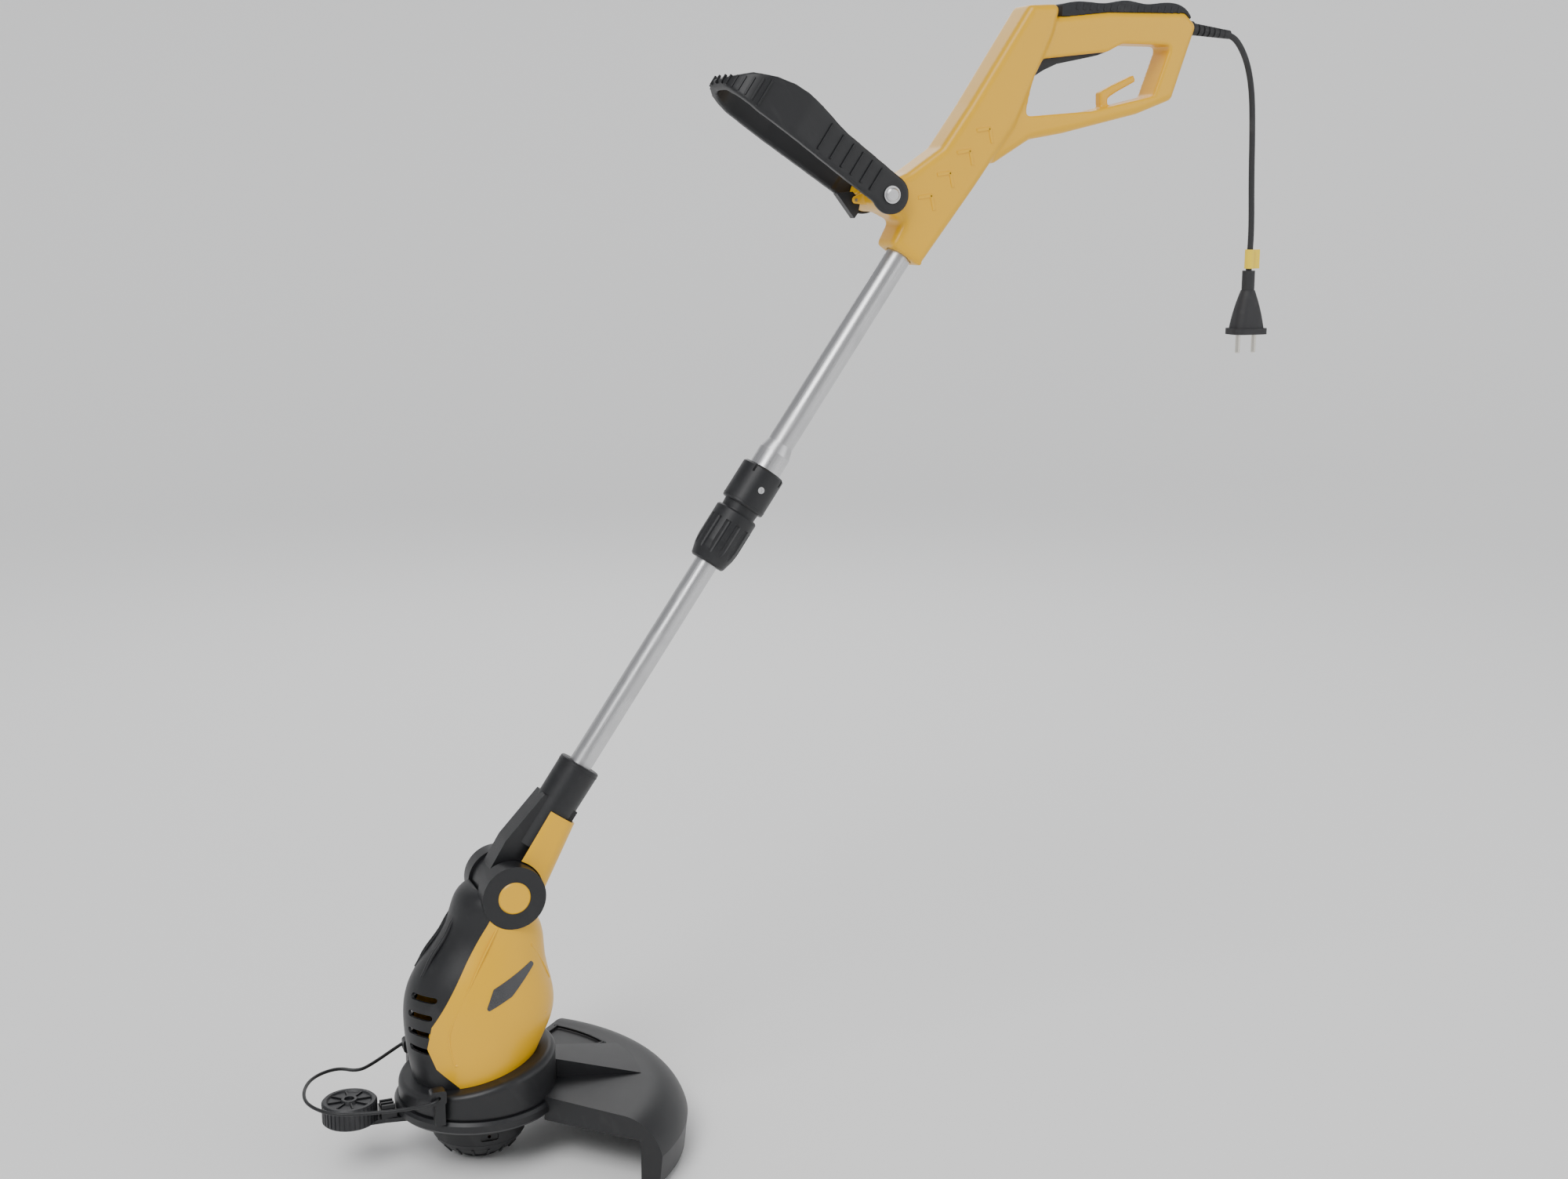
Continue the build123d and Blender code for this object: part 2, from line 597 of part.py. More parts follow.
with BuildPart() as wire_clips:
    # Blocks screwed to the motor base that hold the ends of the wire.
    for side in (-1, 1):
        with BuildSketch(side_plane(side * 66)):
            with Locations((WIRE_HINGE_X, WIRE_HINGE_Z)):
                RectangleRounded(14, 13, 3)
        extrude(amount=side * 10.5)
        with BuildSketch(Plane.XY.offset(RING_Z + 12)):
            with Locations((WIRE_HINGE_X + 1, side * 60.75)):
                Rectangle(9, 10.5)
        extrude(amount=20)
    with BuildSketch(Plane.XZ):
        with Locations((WIRE_HINGE_X, WIRE_HINGE_Z)):
            Circle(WIRE_R + 0.05)
    extrude(amount=80, both=True, mode=Mode.SUBTRACT)
    add(motor_base.part, mode=Mode.SUBTRACT)
save(wire_clips, "wire_clips")

# ---------------------------------------------------------------- debris guard

# Outline of the guard's hollow form in (radius, height): the plate, then the skirt.
GUARD_PLATE = 66.0
GUARD_ROOT_R = 72.0


def guard_form(inset, half_angle, floor):
    """Sector under the guard's plate and inside its skirt, drawn in by the wall."""
    top, rim = GUARD_PLATE - inset, GUARD_R - inset
    with BuildPart() as sector:
        with BuildSketch(Plane.XZ):
            with BuildLine():
                Polyline((rim - 3, floor), (GUARD_ROOT_R, floor), (GUARD_ROOT_R, top),
                         (rim - 42, top - 2))
                ThreePointArc((rim - 42, top - 2), (rim - 12, top - 13), (rim, top - 33))
                Line((rim, top - 33), (rim - 3, floor))
            make_face()
        revolve(axis=Axis.Z, revolution_arc=2 * half_angle)
    return sector.part.rotate(Axis.Z, -half_angle)


with BuildPart() as guard:
    add(guard_form(0, GUARD_HALF_ANGLE, GUARD_FOOT))
    add(guard_form(SHELL, GUARD_HALF_ANGLE - 1.2, GUARD_FOOT - 5), mode=Mode.SUBTRACT)
    # The side walls stop short of the ground, except at the skirt.
    with BuildSketch(Plane.XY.offset(GUARD_FOOT - 2)):
        Circle(GUARD_R - 22)
    extrude(amount=45 - GUARD_FOOT, mode=Mode.SUBTRACT)
    # Stiffening box on the plate, and the seat around the motor base.
    with BuildSketch(radial_plane(-13)):
        with BuildLine():
            Polyline((72, GUARD_PLATE - 1), (152, GUARD_PLATE - 1.5), (72, GUARD_PLATE + 18),
                     close=True)
        make_face()
    revolve(axis=Axis.Z, revolution_arc=28)
    add(motor_base.part, mode=Mode.SUBTRACT)
save(guard, "guard")

# ---------------------------------------------------------------- rear handle

# Body of the handle in side view: (station on the shaft, distance forward of it).
BODY_OUTLINE = [
    (S_HOUSING, -17), (S_HOUSING, 19), (712, 22), (706, 60), (714, 66), (752, 42), (790, 27),
    (838, 26), (948, 28), (968, 2), (940, -8), (850, -24), (780, -22),
]
# Grip, rear post and lower bar in side view: (X, Z).
FRAME_OUTLINE = [
    (505, 899), (552, 927), (587, 933), (668, 952), (706, 966), (718, 1000), (731, 1036),
    (718, 1048), (632, 1046), (580, 1040), (535, 1022), (515, 970),
]
FINGER_HOLE = [
    (545, 948), (553, 985), (563, 1001), (632, 1009), (648, 1017), (702, 1017), (684, 969),
    (617, 954),
]
# Hook on the lower bar that takes the strain off the extension cord.
HOOK_OUTLINE = [(632, 950), (631, 972), (645, 979), (668, 989), (670, 983), (650, 973), (640, 967),
                (640, 952)]
HOOK_HALF = 5.0
TRIGGER_OUTLINE = [
    (555, 984), (567, 991), (581, 997), (611, 1003), (625, 1006), (636, 1010), (634, 1017),
    (620, 1017), (584, 1010), (562, 1003), (553, 995),
]
TRIGGER_PIN = (627, 1012)
TRIGGER_HALF = 8.0
SWITCH_X, PLUNGER_R = 600.0, 2.5


def handle_body(inset):
    """The part of the handle around the upper tube, whole or drawn in by the wall."""
    with BuildPart() as body:
        with BuildSketch(SHAFT_SIDE) as outline:
            with BuildLine():
                Polyline(*BODY_OUTLINE, close=True)
            make_face()
            fillet(outline.vertices(), 5)
            if inset:
                offset(amount=-inset, mode=Mode.REPLACE)
        extrude(amount=BODY_HALF - inset, both=True)
        fillet(body.faces().filter_by(Plane.XZ).edges(), 7 - inset)
    return body.part


def handle_frame(inset):
    """The D-shaped part of the handle, whole or drawn in by the wall."""
    with BuildPart() as frame:
        with BuildSketch(side_plane(0)) as outline:
            with BuildLine():
                Polyline(*FRAME_OUTLINE, close=True)
            make_face()
            fillet(outline.vertices(), 6)
            if inset:
                offset(amount=-inset, mode=Mode.REPLACE)
        extrude(amount=GRIP_HALF - inset, both=True)
        fillet(frame.faces().filter_by(Plane.XZ).edges(), 7 - inset)
        with BuildSketch(side_plane(0)) as opening:
            with BuildLine():
                Polyline(*FINGER_HOLE, close=True)
            make_face()
            fillet(opening.vertices(), 4)
            if inset:
                offset(amount=inset, mode=Mode.REPLACE)
        extrude(amount=BODY_HALF + 5, both=True, mode=Mode.SUBTRACT)
    return frame.part


def side_block(outline, half_width, grow=0.0):
    """A block with this outline in side view, reaching half_width to each side."""
    with BuildPart() as block:
        with BuildSketch(side_plane(0)):
            with BuildLine():
                Polyline(*outline, close=True)
            make_face()
            if grow:
                offset(amount=grow, mode=Mode.REPLACE)
        extrude(amount=half_width, both=True)
    return block.part


def handle_disc(place, radius, y_from, y_to):
    """A disc across the handle, centred at (X, Z), between two distances along Y."""
    with BuildPart() as disc:
        with BuildSketch(side_plane(y_from)):
            with Locations(place):
                Circle(radius)
        extrude(amount=y_from - y_to)
    return disc.part


def shaft_point(s, f):
    """(X, Z) of the point at station s on the shaft and f in front of it."""
    return (TILT_X + s * SHAFT_SIN - f * SHAFT_COS, TILT_Z + s * SHAFT_COS + f * SHAFT_SIN)


LOOP_PIVOT = (LOOP_X, LOOP_Z)
LOOP_BOLT_R = 3.0
LATCH_PIVOT = (375.4, 871.3)
# Screws of the housing: (X, Z) and the y of the seat their heads lie on.
SCREWS = [
    (shaft_point(779, -10), 13), (shaft_point(806, 13), 13), (shaft_point(880, 13), 13),
    (shaft_point(932, 12), 13), ((690, 1032), 9), ((703, 990), 9), ((612, 946), 9),
]

with BuildPart() as housing:
    add(handle_body(0))
    add(handle_frame(0))
    add(handle_body(SHELL), mode=Mode.SUBTRACT)
    add(handle_frame(SHELL), mode=Mode.SUBTRACT)
    with BuildSketch(side_plane(0)) as opening:
        with BuildLine():
            Polyline(*FINGER_HOLE, close=True)
        make_face()
        fillet(opening.vertices(), 4)
    extrude(amount=BODY_HALF + 5, both=True, mode=Mode.SUBTRACT)
    add(side_block(HOOK_OUTLINE, HOOK_HALF))
    # Lug between the arms of the loop handle, and the ears of the latch.
    add(handle_disc(LOOP_PIVOT, 15.5, -LOOP_IN + 0.4, LOOP_IN - 0.4))
    add(handle_disc(LOOP_PIVOT, LOOP_BOLT_R + 0.02, -40, 40), mode=Mode.SUBTRACT)
    for y_from, y_to in ((-8.0, -5.0), (5.0, 8.0)):
        add(handle_disc(LATCH_PIVOT, 4.0, y_from, y_to))
        with BuildSketch(side_plane(y_from)):
            with BuildLine():
                Polyline((376, 867.3), (396, 866), (392, 884), (375, 875.3), close=True)
            make_face()
        extrude(amount=y_from - y_to)
    add(handle_disc(LATCH_PIVOT, 1.52, -12, 12), mode=Mode.SUBTRACT)
    # Screw towers, seats of the tube, and the bore it sits in.
    for place, seat in SCREWS:
        add(handle_disc(place, 4.2, -seat - 4.7, seat + 4.7))
    for station in (S_HOUSING + 1, 738.0, 760.0):
        with BuildSketch(shaft_plane(station)):
            Rectangle(34, 36)
        extrude(amount=3)
    with BuildSketch(shaft_plane(S_HOUSING - 5)):
        Circle(UPPER_TUBE_R + 0.05)
    extrude(amount=S_UPPER_TUBE_TOP + 5.2 - S_HOUSING, mode=Mode.SUBTRACT)
    # Cord outlet.
    with BuildSketch(Plane.YZ.offset(712)):
        with Locations((0, 1035)):
            Circle(5.4)
    extrude(amount=40, mode=Mode.SUBTRACT)
    # Slot the trigger swings in, and the bosses of its pin.
    swept = side_block(TRIGGER_OUTLINE, TRIGGER_HALF + 0.5, 1.0)
    pin_axis = Axis((TRIGGER_PIN[0], 0, TRIGGER_PIN[1]), (0, 1, 0))
    for squeeze in (0, 3, 6, 9):
        add(swept.rotate(pin_axis, squeeze), mode=Mode.SUBTRACT)
    add(handle_disc(TRIGGER_PIN, 4.0, -14.0, -8.5))
    add(handle_disc(TRIGGER_PIN, 4.0, 8.5, 14.0))
    add(handle_disc(TRIGGER_PIN, 2.02, -12, 12), mode=Mode.SUBTRACT)
    for place, seat in SCREWS:
        add(handle_disc(place, 1.55, seat + 1, -10), mode=Mode.SUBTRACT)
        add(handle_disc(place, 3.45, 40, seat), mode=Mode.SUBTRACT)

with BuildPart() as rear_housing_left:
    add(housing.part)
    split(bisect_by=Plane.XZ, keep=Keep.TOP)
save(rear_housing_left, "rear_housing_left")

with BuildPart() as rear_housing_right:
    add(housing.part)
    split(bisect_by=Plane.XZ, keep=Keep.BOTTOM)
save(rear_housing_right, "rear_housing_right")

with BuildPart() as housing_screws:
    for place, seat in SCREWS:
        add(handle_disc(place, 3.4, seat + 3.5, seat))
        add(handle_disc(place, 1.5, seat, -8.0))
        with BuildSketch(side_plane(seat + 5)):
            with Locations(place):
                Rectangle(4.4, 1.0)
                Rectangle(1.0, 4.4)
        extrude(amount=3, mode=Mode.SUBTRACT)
save(housing_screws, "housing_screws")

with BuildPart() as soft_grip:
    with BuildSketch(side_plane(0)):
        with BuildLine():
            Polyline((583, 1036), (583, 1051))
            Spline((583, 1051), (606, 1054.5), (632, 1054), (652, 1057), (674, 1054.5),
                   (696, 1056.5), (714, 1054), (725, 1044))
            Polyline((725, 1044), (722, 1036), (583, 1036))
        make_face()
    extrude(amount=13, both=True)
    add(handle_frame(0), mode=Mode.SUBTRACT)
    add(handle_body(0), mode=Mode.SUBTRACT)
    with BuildSketch(side_plane(0)):
        with Locations((650, 1015)):
            Rectangle(200, 50)
    extrude(amount=30, both=True, mode=Mode.SUBTRACT)
save(soft_grip, "soft_grip")

# ---------------------------------------------------------------- trigger and switch

with BuildPart() as trigger:
    add(side_block(TRIGGER_OUTLINE, TRIGGER_HALF))
    add(handle_disc(TRIGGER_PIN, 2.07, -12, 12), mode=Mode.SUBTRACT)
save(trigger, "trigger")

with BuildPart() as trigger_pin:
    add(handle_disc(TRIGGER_PIN, 2.0, -11.9, 11.9))
save(trigger_pin, "trigger_pin")

with BuildPart() as trigger_spring:
    with BuildLine() as coil:
        Helix(3.0, 18.0, 3.4, center=(570, 0, 1008.5))
    with BuildSketch(Plane(origin=coil.wire() @ 0, z_dir=coil.wire() % 0)):
        Circle(0.5)
    sweep(is_frenet=True)
save(trigger_spring, "trigger_spring")

with BuildPart() as switch_body:
    with BuildSketch(Plane.XY.offset(1021)):
        with Locations((SWITCH_X + 2, 0)):
            Rectangle(30, 26)
    extrude(amount=12)
    with BuildSketch(Plane.XY.offset(1018.5)):
        with Locations((SWITCH_X, 0)):
            Circle(4.2)
    extrude(amount=2.5)
    with BuildSketch(Plane.XY.offset(1018)):
        with Locations((SWITCH_X, 0)):
            Circle(PLUNGER_R + 0.05)
    extrude(amount=14, mode=Mode.SUBTRACT)
save(switch_body, "switch_body")

with BuildPart() as switch_plunger:
    with BuildSketch(Plane.XY.offset(1014.2)):
        with Locations((SWITCH_X, 0)):
            Circle(PLUNGER_R)
    extrude(amount=12.8)
save(switch_plunger, "switch_plunger")

# ---------------------------------------------------------------- front loop handle

LOOP_SIN, LOOP_COS = sin(radians(LOOP_RISE)), cos(radians(LOOP_RISE))
# Side view of the loop: local x runs forward along its arms, local y is square to them.
LOOP_SIDE = Plane(origin=(LOOP_X, 0, LOOP_Z), x_dir=(-LOOP_COS, 0, LOOP_SIN), z_dir=(0, 1, 0))
# Plan view of the loop: local x runs forward along its arms, local y is across.
LOOP_PLAN = Plane(origin=(LOOP_X, 0, LOOP_Z), x_dir=(-LOOP_COS, 0, LOOP_SIN),
                  z_dir=(LOOP_SIN, 0, LOOP_COS))
LOOP_SIDE_OUTLINE = [
    (-2, -15), (150, -13), (172, -10.5), (182, -8), (185.5, -3), (181, 3), (170, 13.5), (150, 22),
    (134, 26), (118, 27), (100, 25), (70, 20), (-2, 18),
]
LOOP_WALL = 9.0


def loop_band(outward):
    """The U-shaped band of the loop in plan, moved out by this much, as a tall block."""
    with BuildPart() as band:
        with BuildSketch(LOOP_PLAN) as plan:
            with BuildLine():
                Polyline((-2, -34.5), (8, -34.5), (112, -42.5), (185.5, -40), (185.5, 40),
                         (112, 42.5), (8, 34.5), (-2, 34.5), close=True)
            make_face()
            fillet(plan.vertices().sort_by(Axis.X)[-2:], 36)
            if outward:
                offset(amount=outward, mode=Mode.REPLACE)
        extrude(amount=70, both=True)
    return band.part


def loop_slice(outline):
    """A block across the whole loop with this outline in its side view."""
    with BuildPart() as across:
        with BuildSketch(LOOP_SIDE):
            with BuildLine():
                Polyline(*outline, close=True)
            make_face()
        extrude(amount=80, both=True)
    return across.part


with BuildPart() as loop_handle:
    add(loop_slice(LOOP_SIDE_OUTLINE))
    add(loop_band(0), mode=Mode.INTERSECT)
    add(loop_band(-LOOP_WALL), mode=Mode.SUBTRACT)
    with BuildSketch(LOOP_PLAN):
        Rectangle(60, 2 * LOOP_IN)
    extrude(amount=60, both=True, mode=Mode.SUBTRACT)
    for y_from, y_to in ((-LOOP_OUT, -LOOP_IN), (LOOP_IN, LOOP_OUT)):
        add(handle_disc(LOOP_PIVOT, LOOP_BOSS_R, y_from, y_to))
    add(handle_disc(LOOP_PIVOT, LOOP_BOLT_R + 0.07, -40, 40), mode=Mode.SUBTRACT)
save(loop_handle, "loop_handle")

with BuildPart() as loop_bolt:
    add(handle_disc(LOOP_PIVOT, LOOP_BOLT_R, -35, 41))
    add(handle_disc(LOOP_PIVOT, 8.0, -36.2, -34.9))
    add(handle_disc(LOOP_PIVOT, 6.2, -39.2, -36.2))
    chamfer(loop_bolt.faces().sort_by(Axis.Y)[0].edges(), 1.4)
    add(handle_disc(LOOP_PIVOT, 8.0, 34.9, 36.2))
    with BuildSketch(side_plane(40.5)):
        with Locations(LOOP_PIVOT):
            RegularPolygon(6.5, 6)
    extrude(amount=4.3)
save(loop_bolt, "loop_bolt")

with BuildPart() as latch_lever:
    with BuildSketch(LOOP_SIDE):
        with BuildLine():
            Polyline((35, -22), (17, -28), (8, -31), (7.5, -25), (12, -14), (23, -12), close=True)
        make_face()
    extrude(amount=4.7, both=True)
    add(handle_disc(LATCH_PIVOT, 1.57, -12, 12), mode=Mode.SUBTRACT)
save(latch_lever, "latch_lever")

with BuildPart() as latch_pin:
    add(handle_disc(LATCH_PIVOT, 1.5, -8.3, 8.3))
save(latch_pin, "latch_pin")

# ---------------------------------------------------------------- small parts of the head

with BuildPart() as guard_screws:
    for place in GUARD_SCREW_PLACES:
        add(lathe([(0, 46.8), (3.4, 46.8), (3.4, 49), (2, 49), (2, 60), (0, 60)])
            .moved(Location((*place, 0))))
save(guard_screws, "guard_screws")

with BuildPart() as line_cutter:
    with BuildSketch(Plane.XY.offset(9)):
        with PolarLocations(189, 1, start_angle=30):
            Rectangle(6, 22)
    extrude(amount=12)
    with BuildSketch(Plane.XY.offset(12)):
        with PolarLocations(181, 1, start_angle=30):
            Rectangle(12, 14)
    extrude(amount=1.2)
    add(guard_form(0, GUARD_HALF_ANGLE, GUARD_FOOT), mode=Mode.INTERSECT)
    add(guard.part, mode=Mode.SUBTRACT)
save(line_cutter, "line_cutter")

with BuildPart() as label_plate:
    add(head_form(-0.4))
    add(head_form(0), mode=Mode.SUBTRACT)
    with BuildSketch(side_plane(0)) as outline:
        with BuildLine():
            Polyline((-3, 155), (6, 175), (45, 192), (48, 188), (23, 166), close=True)
        make_face()
        fillet(outline.vertices(), 2)
    extrude(amount=70, mode=Mode.INTERSECT)
save(label_plate, "label_plate")

# ---------------------------------------------------------------- cord and plug

RELIEF_START, RELIEF_END = (712.5, 0, 1036), (777, 0, 1029.8)
RELIEF = Plane(origin=RELIEF_START, x_dir=(0, 1, 0),
               z_dir=(RELIEF_END[0] - RELIEF_START[0], 0, RELIEF_END[2] - RELIEF_START[2]))
RELIEF_LENGTH = 64.8
with BuildPart() as strain_relief:
    with BuildSketch(RELIEF.offset(13)):
        Circle(6.2)
    with BuildSketch(RELIEF.offset(RELIEF_LENGTH)):
        Circle(4.2)
    loft()
    with BuildSketch(RELIEF.offset(17)):
        Circle(7.4)
    extrude(amount=4)
    for groove in range(6):
        with BuildSketch(RELIEF.offset(26 + 6 * groove)):
            Circle(8)
            Circle(4.1, mode=Mode.SUBTRACT)
        extrude(amount=1.8, mode=Mode.SUBTRACT)
    with BuildSketch(RELIEF.offset(1)):
        Circle(5.2)
    extrude(amount=20)
    add(handle_frame(0), mode=Mode.SUBTRACT)
    with BuildSketch(RELIEF.offset(1)):
        Circle(4.9)
    extrude(amount=20)
    with BuildSketch(RELIEF.offset(56)):
        Circle(CORD_R + 0.05)
    extrude(amount=20, mode=Mode.SUBTRACT)
save(strain_relief, "strain_relief")

CORD_ROUTE = [
    (768.74, 0, 1030.59), (779.5, 0, 1029.56), (790, 0, 1020.8), (800, 0, 1003), (806.5, 0, 977), (809, 0, 940), (810.5, 0, 890),
    (813, 0, 845), (812.7, 0, 822), (PLUG_X, 0, 801),
]


def route_radii(route):
    """Bend radius at each inner point of a route, as large as its runs allow."""
    points = [Vector(*point) for point in route]
    radii = []
    for before, at, after in zip(points, points[1:], points[2:]):
        shorter = min((at - before).length, (after - at).length)
        turn = radians((at - before).get_angle(after - at))
        radii.append(0.45 * shorter / tan(turn / 2))
    return radii


CORD_BENDS = route_radii(CORD_ROUTE)
print("cord bend radii", [round(bend, 1) for bend in CORD_BENDS])
with BuildPart() as mains_cord:
    with BuildLine() as route:
        FilletPolyline(*CORD_ROUTE, radius=CORD_BENDS)
    with BuildSketch(Plane(origin=route.wire() @ 0, z_dir=route.wire() % 0)):
        Circle(CORD_R)
    sweep()
print("cord volume", round(mains_cord.part.volume), "length", round(route.wire().length, 1))
save(mains_cord, "mains_cord")

with BuildPart() as cord_tag:
    with BuildSketch(Plane.XY.offset(803)):
        with Locations((812.5, 0)):
            Circle(5.0)
        with Locations((819, 0)):
            Rectangle(10, 1.6)
        with Locations((812.5, 0)):
            Circle(3.7, mode=Mode.SUBTRACT)
    extrude(amount=19)
save(cord_tag, "cord_tag")

with BuildPart() as plug_body:
    with BuildSketch(Plane.XY.offset(PLUG_Z)):
        with Locations((PLUG_X, 0)):
            RectangleRounded(40, 28, 10)
    extrude(amount=6)
    with BuildSketch(Plane.XY.offset(PLUG_Z + 6)):
        with Locations((PLUG_X, 0)):
            RectangleRounded(34, 24, 9)
    with BuildSketch(Plane.XY.offset(PLUG_Z + 22)):
        with Locations((PLUG_X, 0)):
            RectangleRounded(28, 21, 9)
    with BuildSketch(Plane.XY.offset(PLUG_Z + 44)):
        with Locations((PLUG_X, 0)):
            Circle(7)
    loft()
    with BuildSketch(Plane.XY.offset(PLUG_Z + 44)):
        with Locations((PLUG_X, 0)):
            Circle(6.4)
    extrude(amount=801 - PLUG_Z - 44)
save(plug_body, "plug_body")

with BuildPart() as plug_pins:
    with BuildSketch(Plane.XY.offset(PLUG_Z)):
        with Locations((PLUG_X - PIN_PITCH / 2, 0), (PLUG_X + PIN_PITCH / 2, 0)):
            Circle(PIN_R)
    extrude(amount=-PIN_LENGTH)
    fillet(plug_pins.faces().sort_by(Axis.Z)[:2].edges(), 1.2)
save(plug_pins, "plug_pins")
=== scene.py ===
"""Looks of a corded string trimmer: finishes, fine detail, lead, camera and studio.

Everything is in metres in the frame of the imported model: +X to the rear, +Y to the
operator's right, +Z up, origin on the flat foot of the bump button.
"""

import logging
from dataclasses import dataclass, field
from enum import Enum
from math import cos, pi, radians, sin

import bmesh
import bpy
from mathutils import Matrix, Vector


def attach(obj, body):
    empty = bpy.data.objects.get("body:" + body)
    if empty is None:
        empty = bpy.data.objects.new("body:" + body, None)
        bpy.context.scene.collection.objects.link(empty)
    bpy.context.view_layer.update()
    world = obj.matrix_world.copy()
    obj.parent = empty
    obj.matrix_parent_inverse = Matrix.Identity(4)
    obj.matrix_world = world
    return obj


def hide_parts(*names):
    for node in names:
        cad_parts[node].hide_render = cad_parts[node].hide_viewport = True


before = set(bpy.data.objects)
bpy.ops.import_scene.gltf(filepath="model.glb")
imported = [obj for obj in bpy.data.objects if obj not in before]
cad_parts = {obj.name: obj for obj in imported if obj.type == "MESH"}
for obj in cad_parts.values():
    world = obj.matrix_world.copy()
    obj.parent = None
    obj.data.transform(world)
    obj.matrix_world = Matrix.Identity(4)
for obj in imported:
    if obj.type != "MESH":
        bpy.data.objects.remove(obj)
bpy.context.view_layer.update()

logging.basicConfig(level=logging.INFO, format="%(name)s: %(message)s")
log = logging.getLogger("trimmer")

Colour = tuple[float, float, float]


# ---------------------------------------------------------------------- shader arithmetic


class Signal:
    """A shader socket that takes part in Python arithmetic."""

    def __init__(self, book: "ShaderBook", socket: bpy.types.NodeSocket) -> None:
        """Wrap a socket of a material that is being built.

        Args:
            book: The material's node maker.
            socket: The output socket to work with.
        """
        self.book = book
        self.socket = socket

    def _math(self, operation: str, *values: "Signal | float") -> "Signal":
        """One Math node on these values.

        Args:
            operation: The Math node's operation.
            values: Its inputs in order.

        Returns:
            The node's result.
        """
        return self.book.node("ShaderNodeMath", {"operation": operation}, dict(enumerate(values)))

    def __add__(self, other: "Signal | float") -> "Signal":
        """Sum."""
        return self._math("ADD", self, other)

    __radd__ = __add__

    def __sub__(self, other: "Signal | float") -> "Signal":
        """Difference."""
        return self._math("SUBTRACT", self, other)

    def __rsub__(self, other: float) -> "Signal":
        """Difference from a number."""
        return self._math("SUBTRACT", other, self)

    def __mul__(self, other: "Signal | float") -> "Signal":
        """Product."""
        return self._math("MULTIPLY", self, other)

    __rmul__ = __mul__

    def clamp(self) -> "Signal":
        """The value held between 0 and 1."""
        return self._math("MINIMUM", self._math("MAXIMUM", self, 0.0), 1.0)


class ShaderBook:
    """One material's node tree and the single method that adds nodes to it."""

    def __init__(self, name: str) -> None:
        """Start an empty material.

        Args:
            name: The material's name.
        """
        self.material = bpy.data.materials.new(name)
        self.material.use_nodes = True
        self.tree = self.material.node_tree
        self.tree.nodes.clear()

    def node(self, kind: str, settings: dict[str, object] | None = None,
             values: dict[str | int, object] | None = None, output: int | str = 0) -> Signal:
        """Add a node.

        Args:
            kind: The node's type.
            settings: Its own settings, set first.
            values: Values or signals for its sockets, by name or index.
            output: The output socket to return.

        Returns:
            That output socket.
        """
        made = self.tree.nodes.new(kind)
        for key, value in (settings or {}).items():
            setattr(made, key, value)
        for key, value in (values or {}).items():
            if isinstance(value, Signal):
                self.tree.links.new(value.socket, made.inputs[key])
            else:
                made.inputs[key].default_value = value
        return Signal(self, made.outputs[output])

    def place(self, scale: tuple[float, float, float] = (1, 1, 1), turn: float = 0.0) -> Signal:
        """Object coordinates, turned about Y and then scaled.

        Args:
            scale: Scale along each axis after the turn.
            turn: Turn about Y in radians.

        Returns:
            The vector.
        """
        where = self.node("ShaderNodeTexCoord", output="Object")
        if turn:
            where = self.node("ShaderNodeVectorRotate", {"rotation_type": "Y_AXIS"},
                              {"Vector": where, "Angle": turn})
        return self.node("ShaderNodeVectorMath", {"operation": "MULTIPLY"}, {0: where, 1: scale})

    def noise(self, scale: float, detail: float = 3.0, where: Signal | None = None) -> Signal:
        """Soft noise between about 0.3 and 0.7.

        Args:
            scale: Features per metre.
            detail: Octaves.
            where: The vector it reads, the object's own by default.

        Returns:
            The noise value.
        """
        return self.node("ShaderNodeTexNoise", None, {
            "Vector": where or self.place(), "Scale": scale, "Detail": detail})

    def blend(self, factor: Signal, low: Colour | Signal, high: Colour | Signal) -> Signal:
        """Mix two colours.

        Args:
            factor: 0 for the first colour, 1 for the second.
            low: The first colour.
            high: The second colour.

        Returns:
            The mixed colour.
        """
        pair = [c if isinstance(c, Signal) else (*c, 1.0) for c in (low, high)]
        return self.node("ShaderNodeMix", {"data_type": "RGBA"},
                         {0: factor, 6: pair[0], 7: pair[1]}, output=2)

    def finish(self, **sockets: "Signal | float | tuple") -> bpy.types.Material:
        """Close the material with one Principled shader.

        Args:
            sockets: Its sockets, with _ for a space.

        Returns:
            The finished material.
        """
        values = {key.replace("_", " "): value for key, value in sockets.items()}
        shader = self.node("ShaderNodeBsdfPrincipled", None, values)
        self.node_end(shader)
        return self.material

    def node_end(self, shader: Signal) -> None:
        """Link the shader to the material's output."""
        end = self.tree.nodes.new("ShaderNodeOutputMaterial")
        self.tree.links.new(shader.socket, end.inputs["Surface"])


# ---------------------------------------------------------------------- finishes


